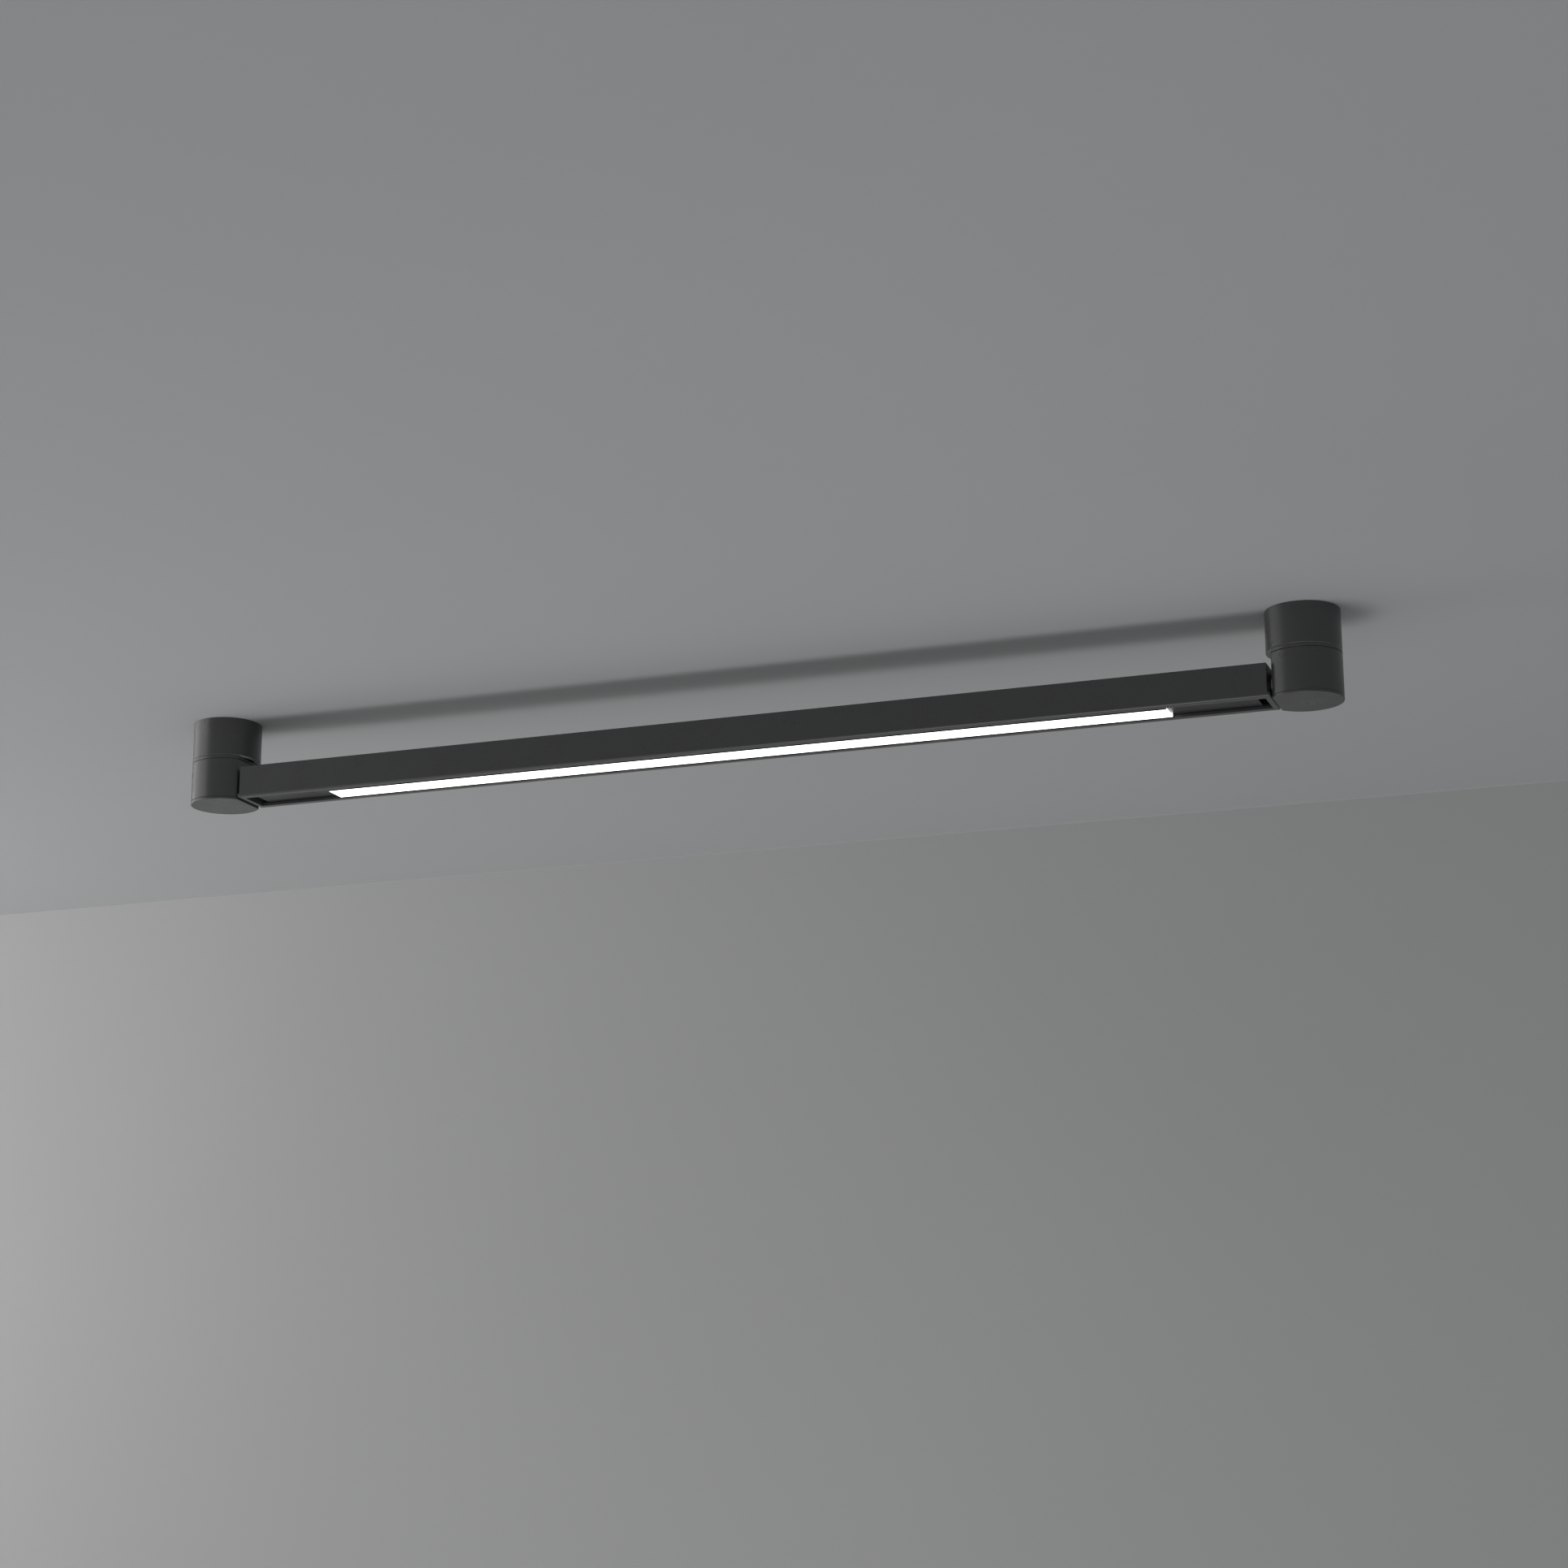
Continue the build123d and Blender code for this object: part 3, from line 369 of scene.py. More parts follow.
def lathe(builder, outline, place, steps, loop=True):
    """Turn an outline of (radius, level) about the local Z axis. A loop outline closes on itself."""
    builder.grid([ring_of(r, z, steps) for r, z in outline], place, closed_ends=not loop, loop=loop)


def hexagon(across_flats):
    """Radius of a hexagon at an angle, with a flat square to the local X axis."""
    def radius(angle):
        turned = (angle + math.pi / 6) % (math.pi / 3) - math.pi / 6
        return across_flats / 2 / math.cos(turned)
    return radius


def rounded_box(builder, low, high, edge, number=0, steps=4):
    """Box with rounded vertical edges and softened top and bottom rims."""
    (x0, y0, z0), (x1, y1, z1) = low, high
    largest_edge = min(x1 - x0, y1 - y0, z1 - z0) / 2.01
    edge = min(edge, largest_edge)
    almost = 0.999          # keeps the corners of the last rings apart

    def outline(inset, level):
        ring = []
        reach = edge - inset
        for cx, cy, start in ((x1, y1, 0), (x0, y1, 1), (x0, y0, 2), (x1, y0, 3)):
            sx, sy = (1 if cx == x1 else -1), (1 if cy == y1 else -1)
            for k in range(steps + 1):
                angle = (start + k / steps) * math.pi / 2
                ring.append(
                    (
                        cx - sx * edge + reach * math.cos(angle),
                        cy - sy * edge + reach * math.sin(angle),
                        level,
                    )
                )
        return ring

    rings = []
    for k in range(steps + 1):
        angle = math.pi / 2 * k / steps
        rings.append(outline(edge * (1 - math.sin(angle)) * almost, z0 + edge * (1 - math.cos(angle))))
    for k in range(steps + 1):
        angle = math.pi / 2 * k / steps
        rings.append(outline(edge * (1 - math.cos(angle)) * almost, z1 - edge * (1 - math.sin(angle))))
    builder.grid(rings, number=number, closed_ends=True)


def along(axis, origin):
    """Matrix that takes the local Z axis to the named axis at the origin. Minus turns it round."""
    turn = {
        "Z": Matrix.Identity(4),
        "-Z": Matrix.Rotation(math.pi, 4, "X"),
        "X": Matrix.Rotation(math.pi / 2, 4, "Y"),
        "-X": Matrix.Rotation(-math.pi / 2, 4, "Y"),
        "-Y": Matrix.Rotation(math.pi / 2, 4, "X"),
        "Y": Matrix.Rotation(-math.pi / 2, 4, "X"),
    }[axis]
    return Matrix.Translation(Vector(origin)) @ turn


def centre(node):
    low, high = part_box(node)
    return (low + high) / 2


def solids(node):
    """Low and high corners of a node's separate solids, found from its connected vertices."""
    mesh = nodes[node].data
    welded = {}
    owner = [welded.setdefault(tuple(round(c, 6) for c in v.co), v.index) for v in mesh.vertices]
    parent = list(range(len(owner)))

    def root(i):
        while parent[i] != i:
            parent[i] = parent[parent[i]]
            i = parent[i]
        return i

    for face in mesh.polygons:
        first = root(owner[face.vertices[0]])
        for index in face.vertices[1:]:
            parent[root(owner[index])] = first
    groups = {}
    for v in mesh.vertices:
        groups.setdefault(root(owner[v.index]), []).append(v.co)
    boxes = []
    for members in groups.values():
        low = Vector(tuple(min(p[i] for p in members) for i in range(3)))
        high = Vector(tuple(max(p[i] for p in members) for i in range(3)))
        boxes.append((low, high))
    return sorted(boxes, key=lambda b: tuple(b[0]))


# ---------------------------------------------------------------- threaded and stamped hardware
THREAD_PITCH = 1.0 * MM
THREAD_DEPTH = 0.32 * MM
THREAD_LEAD_IN = 0.7 * MM
ROWS_PER_TURN = 5
BORE_CHAMFER = 0.5 * MM
WAVE_SHEET = 0.35 * MM
SCREW_PITCH = 0.7 * MM
ROWS_PER_SCREW_TURN = 4
GRUB_CHAMFER = 0.25 * MM
GRUB_THREAD_DEPTH = 0.2 * MM
GRUB_ROWS = 22
SHAFT_STEPS = 56
NUT_STEPS = 72
WASHER_STEPS = 72
WAVE_STEPS = 96
PIN_STEPS = 40
SCREW_STEPS = 60
WELL_STEPS = 40


def low_face(low, high, index):
    """Middle of the box face at the low end of the numbered axis."""
    place = (low + high) / 2
    place[index] = low[index]
    return place


def outer_radius(low, high, index):
    """Half the larger size of the box across the numbered axis."""
    return max((high - low)[i] for i in range(3) if i != index) / 2


def threaded_tube(builder, low, high, axis, outer, bore):
    """Hollow shaft with a rolled thread, chamfered ends and a clean bore."""
    index = "XYZ".index(axis)
    length = high[index] - low[index]
    rows = int(length / THREAD_PITCH * ROWS_PER_TURN)
    rings = [ring_of(bore, 0.0, SHAFT_STEPS), ring_of(outer - THREAD_LEAD_IN, 0.0, SHAFT_STEPS)]
    for row in range(1, rows):
        z = length * row / rows
        fade = min(1.0, z / THREAD_LEAD_IN, (length - z) / THREAD_LEAD_IN)

        def radius(angle, z=z, fade=fade):
            phase = (z / THREAD_PITCH - angle / TAU) % 1.0
            tooth = abs(2 * phase - 1)
            return outer - THREAD_LEAD_IN * (1 - fade) * 0.6 - THREAD_DEPTH * fade * (1 - tooth)

        rings.append(ring_of(radius, z, SHAFT_STEPS))
    rings += [ring_of(outer - THREAD_LEAD_IN, length, SHAFT_STEPS), ring_of(bore, length, SHAFT_STEPS)]
    builder.grid(rings, along(axis, low_face(low, high, index)), loop=True)


def chamfered_nut(builder, low, high, axis, bore):
    """Hexagon nut with both faces chamfered at the corners and a countersunk bore."""
    index = "XYZ".index(axis)
    height = high[index] - low[index]
    across = min((high - low)[i] for i in range(3) if i != index)
    flat_radius = hexagon(across)
    wide = next((i for i in range(3) if i != index and (high - low)[i] > across * 1.05), 1)
    turn = math.pi / 6 if (axis, wide) in (("X", 2), ("Z", 0)) else 0.0
    rows = 9
    rings = [ring_of(bore + BORE_CHAMFER, 0.0, NUT_STEPS)]
    for row in range(rows + 1):
        z = height * row / rows
        z_edge = min(z, height - z)
        cone = across / 2 + z_edge * 1.9

        def radius(angle, cone=cone):
            return min(flat_radius(angle), cone)

        rings.append(ring_of(radius, z, NUT_STEPS))
    rings.append(ring_of(bore + BORE_CHAMFER, height, NUT_STEPS))
    rings.append(ring_of(bore, height - BORE_CHAMFER, NUT_STEPS))
    rings.append(ring_of(bore, BORE_CHAMFER, NUT_STEPS))
    place = along(axis, low_face(low, high, index)) @ Matrix.Rotation(turn, 4, "Z")
    builder.grid(rings, place, loop=True)


def plain_washer(builder, low, high, axis, bore):
    """Stamped washer: rolled upper rim and a sharper lower one."""
    index = "XYZ".index(axis)
    height = high[index] - low[index]
    outer = outer_radius(low, high, index)
    roll = min(0.22 * MM, height / 3)
    outline = [
        (bore, roll / 2), (bore + roll / 2, 0), (outer - roll / 2, 0), (outer, roll / 2),
        (outer, height - roll), (outer - roll * 0.35, height - roll * 0.3), (outer - roll, height),
        (bore + roll, height), (bore + roll * 0.3, height - roll * 0.35), (bore, height - roll),
    ]
    lathe(builder, outline, along(axis, low_face(low, high, index)), WASHER_STEPS)


def wave_washer(builder, low, high, axis, bore):
    """Spring washer with three waves that fill its gap."""
    index = "XYZ".index(axis)
    height = high[index] - low[index]
    outer = outer_radius(low, high, index)
    rings = []
    for r, side in ((bore, 0), (outer, 0), (outer, 1), (bore, 1)):
        def level(angle, side=side):
            swing = (height - WAVE_SHEET) * (0.5 + 0.5 * math.cos(3 * angle))
            return swing + side * WAVE_SHEET

        rings.append(ring_of(r, level, WAVE_STEPS))
    builder.grid(rings, along(axis, low_face(low, high, index)), loop=True)


def domed_pin(builder, low, high, axis):
    """Ground dowel pin with domed ends."""
    index = "XYZ".index(axis)
    length = high[index] - low[index]
    radius = (high - low)[(index + 1) % 3] / 2
    dome = 0.25 * radius
    outline = []
    for k in range(1, 6):
        angle = math.pi / 2 * k / 5
        outline.append((radius * (0.35 + 0.65 * math.sin(angle)), dome * (1 - math.sin(angle))))
    outline += [(r, length - z) for r, z in reversed(outline)]
    lathe(builder, outline, along(axis, low_face(low, high, index)), PIN_STEPS, loop=False)


def socket_recess(radius, depth, rim):
    """Rings of a hexagon socket that sinks into a screw head, from its rim to its floor."""
    hexed = hexagon(radius * 2)
    return [
        ring_of(rim, 0.0, SCREW_STEPS),
        ring_of(hexed, 0.0, SCREW_STEPS),
        ring_of(lambda a: hexed(a) * 0.94, -depth * 0.12, SCREW_STEPS),
        ring_of(lambda a: hexed(a) * 0.9, -depth, SCREW_STEPS),
        ring_of(0.08 * radius, -depth * 1.25, SCREW_STEPS),
    ]


def machine_screw(builder, head_centre, axis, head_radius, head_height, shank, length, countersunk):
    """Screw with a hexagon socket. axis points out of the head; the shank runs the other way."""
    place = along(axis, head_centre)
    socket = head_radius * 0.48
    rings = socket_recess(socket, head_height * 0.62, head_radius * 0.93)[::-1]
    if countersunk:
        rings.append(ring_of(head_radius, -0.08 * MM, SCREW_STEPS))
        rings.append(ring_of(head_radius, -0.22 * MM, SCREW_STEPS))
        rings.append(ring_of(shank, -head_height, SCREW_STEPS))
    else:
        rings.append(ring_of(head_radius, -head_height * 0.16, SCREW_STEPS))
        rings.append(ring_of(head_radius, -head_height * 0.92, SCREW_STEPS))
        rings.append(ring_of(head_radius * 0.96, -head_height, SCREW_STEPS))
        rings.append(ring_of(shank, -head_height, SCREW_STEPS))
    rows = max(8, int((length - head_height) / SCREW_PITCH * ROWS_PER_SCREW_TURN))
    for row in range(1, rows + 1):
        z = head_height + (length - head_height) * row / rows
        point = min(1.0, (length - z) / (1.4 * shank) + 0.25)

        def radius(angle, z=z, point=point):
            phase = (z / SCREW_PITCH - angle / TAU) % 1.0
            return shank * point * (1 - 0.18 * (1 - abs(2 * phase - 1)))

        rings.append(ring_of(radius, -z, SCREW_STEPS))
    builder.grid([ring[::-1] for ring in rings], place, closed_ends=True)


ENDS = {"a": 1, "b": -1}
SHAFT_R = 5.0 * MM
BORE_R = 3.5 * MM
THREAD_R = SHAFT_R + 0.05 * MM
LARGEST_WAVE_R = 9 * MM      # a washer with a larger radius is a plain one

for end, side in ENDS.items():
    for joint, axis, brass in (("swivel", "Z", brass_up), ("tilt", "X", brass_along)):
        body = f"head_{end}" if joint == "swivel" else "bar"

        node = f"{joint}_shaft_{end}"
        shaft = Builder()
        threaded_tube(shaft, *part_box(node), axis, SHAFT_R, BORE_R)
        shaft.finish(f"threaded_{node}", brass, body, [node], smooth_angle=50)

        node = f"{joint}_nuts_{end}"
        nuts = Builder()
        for low, high in solids(node):
            chamfered_nut(nuts, low, high, axis, THREAD_R)
        nuts.finish(f"hex_{node}", zinc_plate, body, [node])

        node = f"{joint}_washers_{end}"
        washers = Builder()
        for low, high in solids(node):
            is_wave = outer_radius(low, high, "XYZ".index(axis)) < LARGEST_WAVE_R
            (wave_washer if is_wave else plain_washer)(washers, low, high, axis, THREAD_R)
        washers.finish(f"stamped_{node}", zinc_plate, body, [node])

        node = f"{joint}_stop_pin_{end}"
        pin = Builder()
        domed_pin(pin, *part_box(node), axis)
        pin.finish(f"domed_{node}", pin_steel, body, [node])

    # countersunk screws of the end plate, heads facing the slot
    node = f"end_cap_screws_{end}"
    plate_screws = Builder()
    for low, high in solids(node):
        x_head = low.x if side > 0 else high.x
        middle = (low + high) / 2
        machine_screw(
            plate_screws,
            (x_head + side * 0.02 * MM, middle.y, middle.z),
            "-X" if side > 0 else "X",
            (high.y - low.y) / 2,
            1.6 * MM,
            1.2 * MM,
            high.x - low.x - 0.1 * MM,
            countersunk=True,
        )
    plate_screws.finish(f"socket_{node}", black_steel, "bar", [node])

    # grub screw that locks the bayonet
    node = f"lock_screw_{end}"
    low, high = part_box(node)
    middle = (low + high) / 2
    grub = Builder()
    radius = (high.x - low.x) / 2
    length = high.y - low.y
    rings = socket_recess(radius * 0.5, length * 0.45, radius * 0.86)[::-1]
    rings.append(ring_of(radius, -GRUB_CHAMFER, SCREW_STEPS))
    for row in range(1, GRUB_ROWS):
        z = GRUB_CHAMFER + (length - 2 * GRUB_CHAMFER) * row / GRUB_ROWS

        def thread(angle, z=z):
            phase = (z / SCREW_PITCH - angle / TAU) % 1.0
            return radius - GRUB_THREAD_DEPTH * (1 - abs(2 * phase - 1))

        rings.append(ring_of(thread, -z, SCREW_STEPS))
    rings.append(ring_of(radius * 0.7, -length, SCREW_STEPS))
    grub.grid([ring[::-1] for ring in rings], along("Y", (middle.x, high.y, middle.z)), closed_ends=True)
    grub.finish(f"socket_{node}", black_steel, f"base_{end}", [node])


# ---------------------------------------------------------------- light engine
def led_chip(builder, low, high):
    """Moulded LED package that faces down: bevelled frame, sunk phosphor and two solder feet."""
    x, y = (low.x + high.x) / 2, (low.y + high.y) / 2
    half_x, half_y = (high.x - low.x) / 2, (high.y - low.y) / 2

    def ring(grow, level):
        sx, sy, cut = half_x - grow, half_y - grow, 0.35 * MM
        return [
            (x + sx, y - sy + cut, level), (x + sx, y + sy - cut, level),
            (x + sx - cut, y + sy, level), (x - sx + cut, y + sy, level),
            (x - sx, y + sy - cut, level), (x - sx, y - sy + cut, level),
            (x - sx + cut, y - sy, level), (x + sx - cut, y - sy, level),
        ]

    down = low.z
    top = high.z
    frame_rings = [
        ring(0.0, top), ring(0.0, down + 0.12 * MM), ring(0.08 * MM, down),
        ring(0.42 * MM, down), ring(0.58 * MM, down + 0.2 * MM),
    ]
    builder.grid([r[::-1] for r in frame_rings], number=0)
    sunk = [ring(0.58 * MM, down + 0.2 * MM), ring(0.9 * MM, down + 0.12 * MM)]
    builder.grid([r[::-1] for r in sunk], number=1)
    builder.add(ring(0.9 * MM, down + 0.12 * MM)[::-1], [tuple(range(8))], number=1)
    for sign in (-1, 1):
        foot_low = Vector((x + sign * half_x - 0.3 * MM, y - 0.9 * MM, top - 0.12 * MM))
        foot_high = Vector((x + sign * half_x + 0.3 * MM, y + 0.9 * MM, top))
        rounded_box(builder, foot_low, foot_high, 0.05 * MM, number=2, steps=1)


chips = Builder()
for low, high in solids("led_chips"):
    led_chip(chips, low, high)
chip_materials = [ceramic, led_gel, zinc_plate]
chips.finish("led_packages", chip_materials, "bar", ["led_chips"], smooth_angle=25)

links = Builder()
for low, high in solids("board_links"):
    rounded_box(links, low, high, 0.3 * MM, number=0)
    for k in range(4):
        x = low.x + (k + 0.5) * (high.x - low.x) / 4
        contact_low = Vector((x - 0.6 * MM, low.y - 0.7 * MM, high.z - 0.3 * MM))
        contact_high = Vector((x + 0.6 * MM, high.y + 0.7 * MM, high.z))
        rounded_box(links, contact_low, contact_high, 0.08 * MM, number=1, steps=2)
links.finish("board_connectors", [nylon, zinc_plate], "bar", ["board_links"])

for node, axis in (("board_screws", "-Z"), ("driver_screws", "Z")):
    pan_screws = Builder()
    for low, high in solids(node):
        middle = (low + high) / 2
        z_head = low.z if axis == "-Z" else high.z
        machine_screw(
            pan_screws,
            (middle.x, middle.y, z_head),
            axis,
            (high.x - low.x) / 2,
            1.5 * MM,
            1.2 * MM,
            high.z - low.z,
            countersunk=False,
        )
    pan_screws.finish(f"socket_{node}", zinc_plate, "bar", [node])


# ---------------------------------------------------------------- driver and terminal block
def led_driver():
    """Slim driver: ribbed case, two end covers with push-in terminals, and the fixing ears."""
    low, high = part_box("led_driver")
    ear, ear_height = 12 * MM, 1.2 * MM
    build = Builder()
    case_low = Vector((low.x + ear, low.y, low.z))
    case_high = Vector((high.x - ear, high.y, high.z - 0.5 * MM))
    rounded_box(build, case_low, case_high, 1.6 * MM, number=0)
    # cooling ribs on the roof of the case
    ribs = 9
    rib_zone = (case_high.x - case_low.x) * 0.5
    for k in range(ribs):
        y = low.y + 4 * MM + k * (high.y - low.y - 8 * MM) / (ribs - 1)
        rib_low = Vector((case_low.x + rib_zone * 0.5, y - 0.5 * MM, case_high.z - 0.3 * MM))
        rib_high = Vector((case_high.x - rib_zone * 0.5, y + 0.5 * MM, high.z))
        rounded_box(build, rib_low, rib_high, 0.3 * MM, number=0, steps=2)
    for sign, x_end in ((1, case_low.x), (-1, case_high.x)):
        # raised cover line and the levers of the push-in terminals
        seam_x = x_end + sign * 30 * MM
        band_low = Vector((min(seam_x, seam_x + sign * MM), low.y, low.z + 0.2 * MM))
        band_high = Vector((max(seam_x, seam_x + sign * MM), high.y, high.z - 0.2 * MM))
        rounded_box(build, band_low, band_high, 0.25 * MM, number=1, steps=2)
        for k in range(3):
            y = (low.y + high.y) / 2 + (k - 1) * 5.5 * MM
            lever_ends = (x_end + sign * 2 * MM, x_end + sign * 9 * MM)
            lever_low = Vector((min(lever_ends), y - 1.8 * MM, case_high.z - MM))
            lever_high = Vector((max(lever_ends), y + 1.8 * MM, high.z))
            rounded_box(build, lever_low, lever_high, 0.35 * MM, number=2, steps=3)
    # fixing ears
    half_ear = (high.y - low.y) / 2 - 2 * MM
    for x0, x1 in ((low.x, low.x + ear + MM), (high.x - ear - MM, high.x)):
        ear_low = Vector((x0, -half_ear, low.z))
        ear_high = Vector((x1, half_ear, low.z + ear_height))
        rounded_box(build, ear_low, ear_high, 0.4 * MM, number=0, steps=3)
    build.finish("driver_case", [case_plastic, acetal, nylon], "bar", ["led_driver"])


def terminal_block():
    """Three-pole block that hangs under the ceiling plate: ribbed body, barriers, wells and clamp screws."""
    low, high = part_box("terminal_block")
    build = Builder()
    rounded_box(build, (low.x, low.y, low.z + 1.2 * MM), high, 0.8 * MM, number=0)
    poles = 3
    step = (high.y - low.y) / poles
    for k in range(poles + 1):
        y = low.y + k * step
        fin_low = Vector((low.x + 0.4 * MM, max(low.y, y - 0.7 * MM), low.z))
        fin_high = Vector((high.x - 0.4 * MM, min(high.y, y + 0.7 * MM), high.z - MM))
        rounded_box(build, fin_low, fin_high, 0.3 * MM, number=0, steps=2)
    for k in range(poles):
        y = low.y + (k + 0.5) * step
        x = (low.x + high.x) / 2
        place = along("-Z", (x, y, low.z + 1.2 * MM))
        well = [
            (2.6 * MM, -0.2 * MM), (2.6 * MM, 0.7 * MM), (2.2 * MM, 0.9 * MM),
            (1.9 * MM, 0.7 * MM), (1.9 * MM, -0.2 * MM),
        ]
        lathe(build, well, place, WELL_STEPS)
        head = Builder()
        machine_screw(head, (x, y, low.z + 0.9 * MM), "-Z", 1.7 * MM, MM, 1.2 * MM, 3 * MM, countersunk=False)
        build.add(head.points, head.faces, number=1)
    resin_and_brass = [terminal_resin, brass_up]
    build.finish("three_pole_terminal", resin_and_brass, "base_a", ["terminal_block"])


led_driver()
terminal_block()

# ---------------------------------------------------------------- CAD nodes that stay
FINISHES = {
    "housing": housing_coat, "collar_ring": coat, "head": coat, "head_cap": coat, "end_cap": coat,
    "cover_strip": strip_coat, "ceiling_plate": zinc_plate, "swivel_friction_pad": acetal,
    "tilt_bush": acetal, "cap_seal": rubber,
}
SINGLE_FINISHES = {
    "bar_profile": coat, "light_channel": channel_coat, "diffuser": lens_glow,
    "channel_end_plugs": lacquer, "side_reflectors": lacquer, "led_board_1": mask_white,
    "led_board_2": mask_white, "led_board_3": mask_white, "gear_tray": aluminium,
    "base_lead": sheath, "head_lead": sheath, "bar_lead": sheath, "output_lead": red_sheath,
}
for stem, material in FINISHES.items():
    for end in ENDS:
        SINGLE_FINISHES[f"{stem}_{end}"] = material
for node, material in SINGLE_FINISHES.items():
    mesh = nodes[node].data
    mesh.materials.clear()
    mesh.materials.append(material)


# ---------------------------------------------------------------- stage, lights and camera
def stage_plane(name, corners, material, casts_shadow=True, bounces_light=True):
    mesh = bpy.data.meshes.new(name)
    mesh.from_pydata(corners, [], [(0, 1, 2, 3)])
    mesh.materials.append(material)
    plane = bpy.data.objects.new(name, mesh)
    bpy.context.scene.collection.objects.link(plane)
    plane.visible_shadow = casts_shadow
    plane.visible_diffuse = bounces_light


def plaster(name, colour, one_sided=False, glow=0.0):
    """Pale painted plaster. A one-sided one is clear from behind, and to whatever it nearly touches."""
    s = Surface(name, colour, 0.9, Emission_Color=(*colour, 1), Emission_Strength=glow)
    s.colour_from(s.noise(1.4, detail=4), (0.3, shade(colour, 0.985)), (0.7, shade(colour, 1.015)))
    s.bump(s.noise(260, detail=3), 0.05, 0.1 * MM)
    if one_sided:
        clear = s.tree.nodes.new("ShaderNodeBsdfTransparent")
        mix = s.tree.nodes.new("ShaderNodeMixShader")
        facing = s.tree.nodes.new("ShaderNodeNewGeometry")
        path = s.tree.nodes.new("ShaderNodeLightPath")
        touching = s.tree.nodes.new("ShaderNodeMath")
        touching.operation = "LESS_THAN"
        touching.inputs[1].default_value = TOUCH_GAP
        s.link(path.outputs["Ray Length"], touching.inputs[0])
        clear_part = s.tree.nodes.new("ShaderNodeMath")
        clear_part.operation = "MAXIMUM"
        s.link(facing.outputs["Backfacing"], clear_part.inputs[0])
        s.link(touching.outputs["Value"], clear_part.inputs[1])
        s.link(clear_part.outputs["Value"], mix.inputs["Fac"])
        s.link(s.shader.outputs["BSDF"], mix.inputs[1])
        s.link(clear.outputs["BSDF"], mix.inputs[2])
        s.link(mix.outputs["Shader"], s.tree.nodes["Material Output"].inputs["Surface"])
    return s.material


REACH = 9.0                  # half size of the stage
WALL_Y = 0.728               # the wall runs parallel to the bar behind it
CEILING_Z = 0.0002
FLOOR_Z = -2.5
TOUCH_GAP = 0.0015           # the ceiling lets light through to the plates that rest against it
ceiling_paint = plaster("ceiling_plaster", (0.455, 0.458, 0.464), one_sided=True)
wall_paint = plaster("wall_plaster", (0.475, 0.475, 0.472), one_sided=True)
floor_paint = plaster("floor_plaster", (0.72, 0.72, 0.71), glow=0.55)
ceiling_corners = [
    (-REACH, -REACH, CEILING_Z), (-REACH, REACH, CEILING_Z),
    (REACH, REACH, CEILING_Z), (REACH, -REACH, CEILING_Z),
]
wall_corners = [
    (-REACH, WALL_Y, CEILING_Z), (-REACH, WALL_Y, -REACH),
    (REACH, WALL_Y, -REACH), (REACH, WALL_Y, CEILING_Z),
]
floor_corners = [
    (-REACH, -REACH, FLOOR_Z), (REACH, -REACH, FLOOR_Z),
    (REACH, REACH, FLOOR_Z), (-REACH, REACH, FLOOR_Z),
]
stage_plane("ceiling", ceiling_corners, ceiling_paint, casts_shadow=False)
stage_plane("wall", wall_corners, wall_paint)
stage_plane("floor", floor_corners, floor_paint, casts_shadow=False, bounces_light=False)

world = bpy.data.worlds.new("studio")
bpy.context.scene.world = world
world.use_nodes = True
world.node_tree.nodes["Background"].inputs["Color"].default_value = (0.97, 0.985, 1.0, 1)
world.node_tree.nodes["Background"].inputs["Strength"].default_value = 0.36
world.cycles.sampling_method = "NONE"


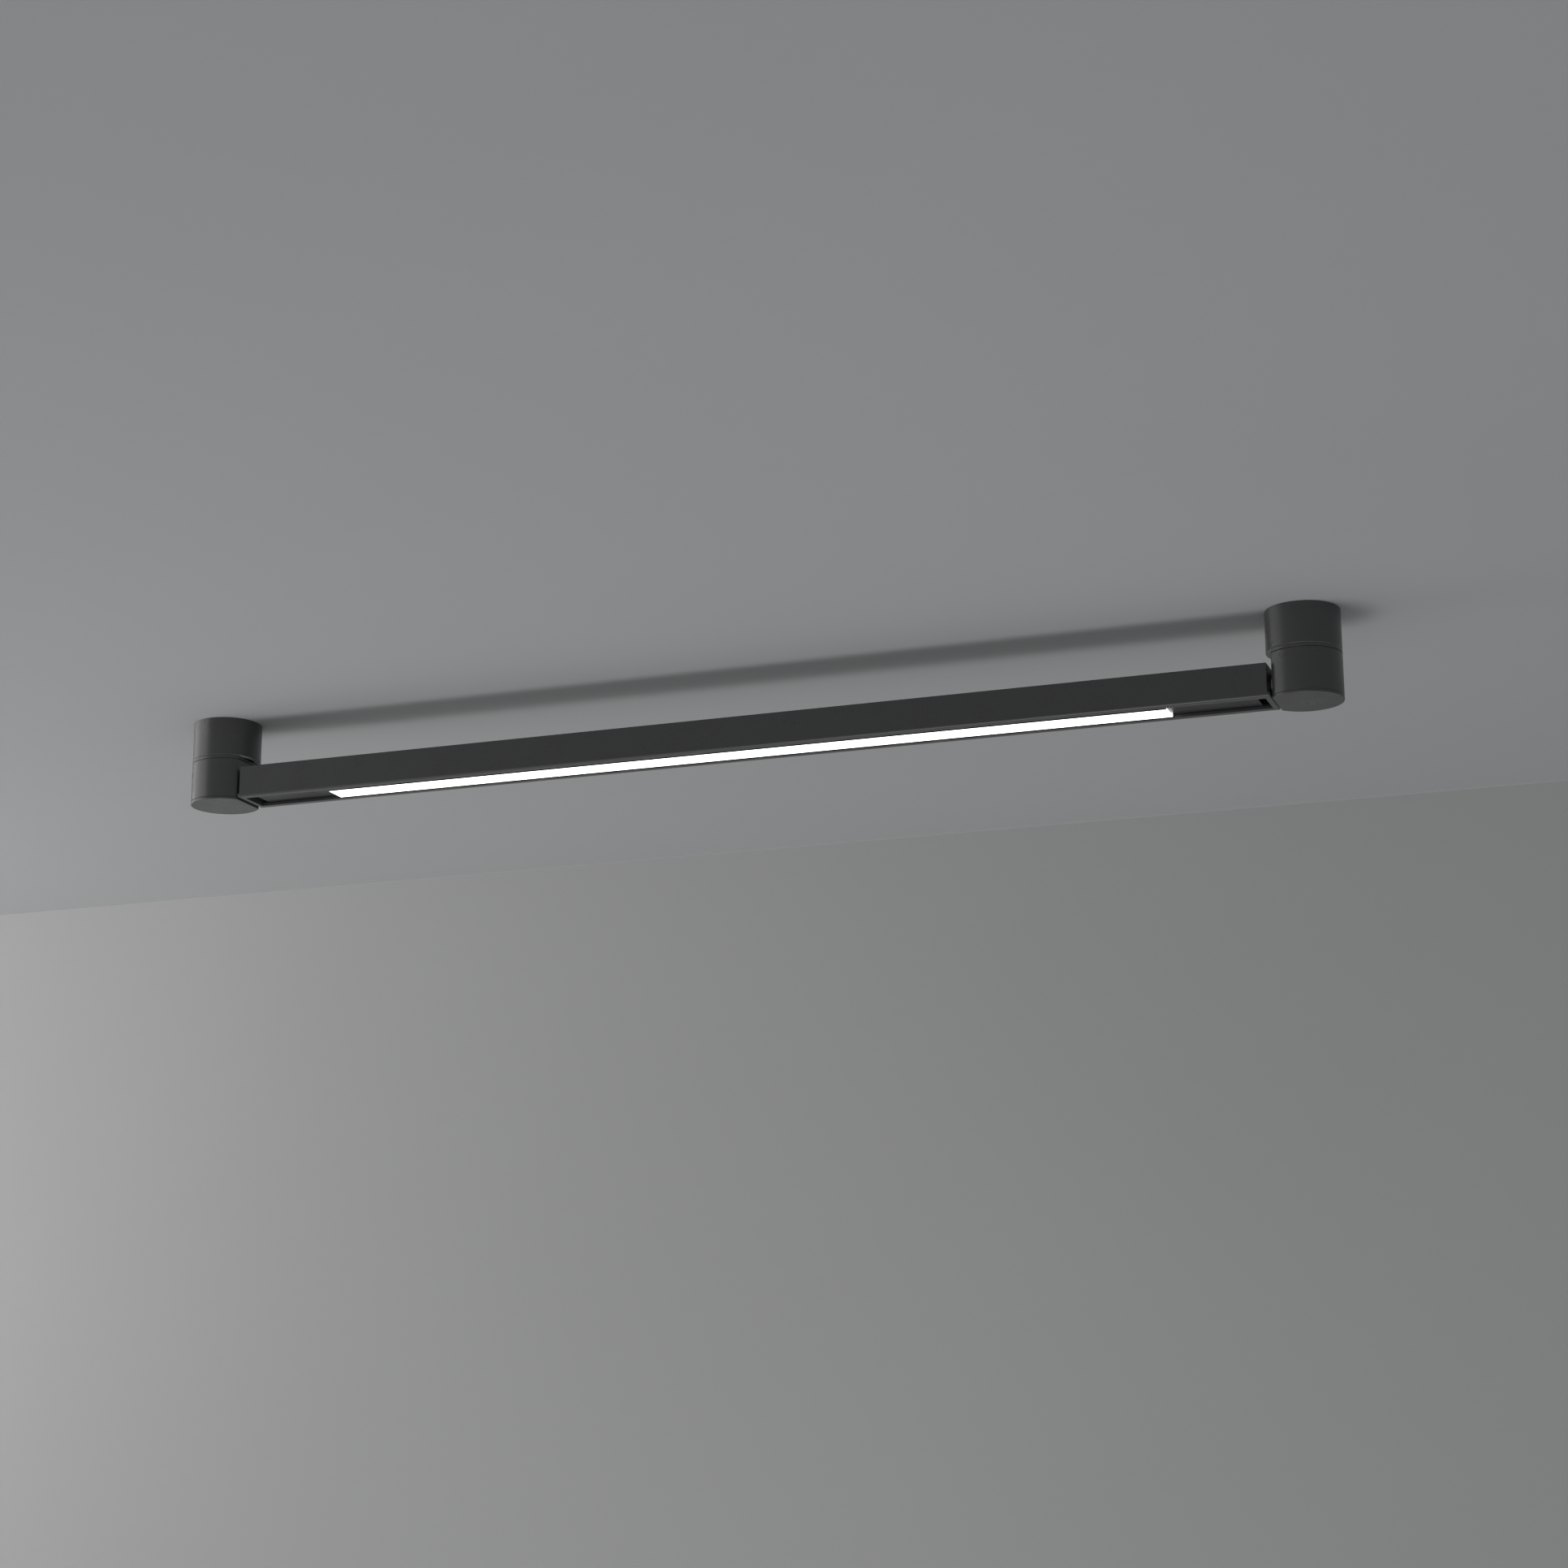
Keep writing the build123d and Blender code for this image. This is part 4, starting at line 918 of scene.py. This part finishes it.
def soft_light(name, place, target, size, power, colour=(1, 1, 1), behind_ceiling=False):
    """Rectangular area light. One behind the ceiling's clear back is sampled from the shaded point only."""
    light = bpy.data.lights.new(name, "AREA")
    light.cycles.use_multiple_importance_sampling = not behind_ceiling
    light.shape = "RECTANGLE"
    light.size, light.size_y = size
    light.energy = power
    light.color = colour
    holder = bpy.data.objects.new(name, light)
    holder.location = place
    holder.rotation_mode = "QUATERNION"
    holder.rotation_quaternion = (Vector(target) - Vector(place)).to_track_quat("-Z", "Y")
    holder.visible_camera = False
    bpy.context.scene.collection.objects.link(holder)


middle_of_bar = centre("bar_profile")
DAYLIGHT = (1.0, 0.995, 0.985)
soft_light("key_from_below", (0.05, -0.85, -3.5), middle_of_bar, (1.2, 1.2), 24)
soft_light("window_left", (-1.35, -0.05, -0.6), (0.0, -0.05, -0.6), (1.3, 0.9), 7.5, DAYLIGHT)
soft_light(
    "window_top", (-1.3, -0.5, 0.36), (0.0, -0.5, 0.36), (2.2, 0.66), 6.4, DAYLIGHT, behind_ceiling=True
)

CAMERA_PLACE = Vector((1.6222, -2.7574, -0.8707))
FOCAL_LENGTH = 71.73         # of a lens on a sensor 36 mm wide
YAW, PITCH, ROLL = (math.radians(angle) for angle in (-20.0217, 14.3767, -0.1684))
camera_data = bpy.data.cameras.new("camera")
camera_data.sensor_width = 36
camera_data.lens = FOCAL_LENGTH
camera = bpy.data.objects.new("camera", camera_data)
forward = Vector((math.sin(YAW) * math.cos(PITCH), math.cos(YAW) * math.cos(PITCH), math.sin(PITCH)))
level_right = Vector((math.cos(YAW), -math.sin(YAW), 0))
level_up = level_right.cross(forward)
right = level_right * math.cos(ROLL) + level_up * math.sin(ROLL)
up = level_up * math.cos(ROLL) - level_right * math.sin(ROLL)
camera.matrix_world = Matrix(
    (
        (right.x, up.x, -forward.x, CAMERA_PLACE.x),
        (right.y, up.y, -forward.y, CAMERA_PLACE.y),
        (right.z, up.z, -forward.z, CAMERA_PLACE.z),
        (0, 0, 0, 1),
    )
)
bpy.context.scene.collection.objects.link(camera)
bpy.context.scene.camera = camera
bpy.context.scene.view_settings.view_transform = "Standard"
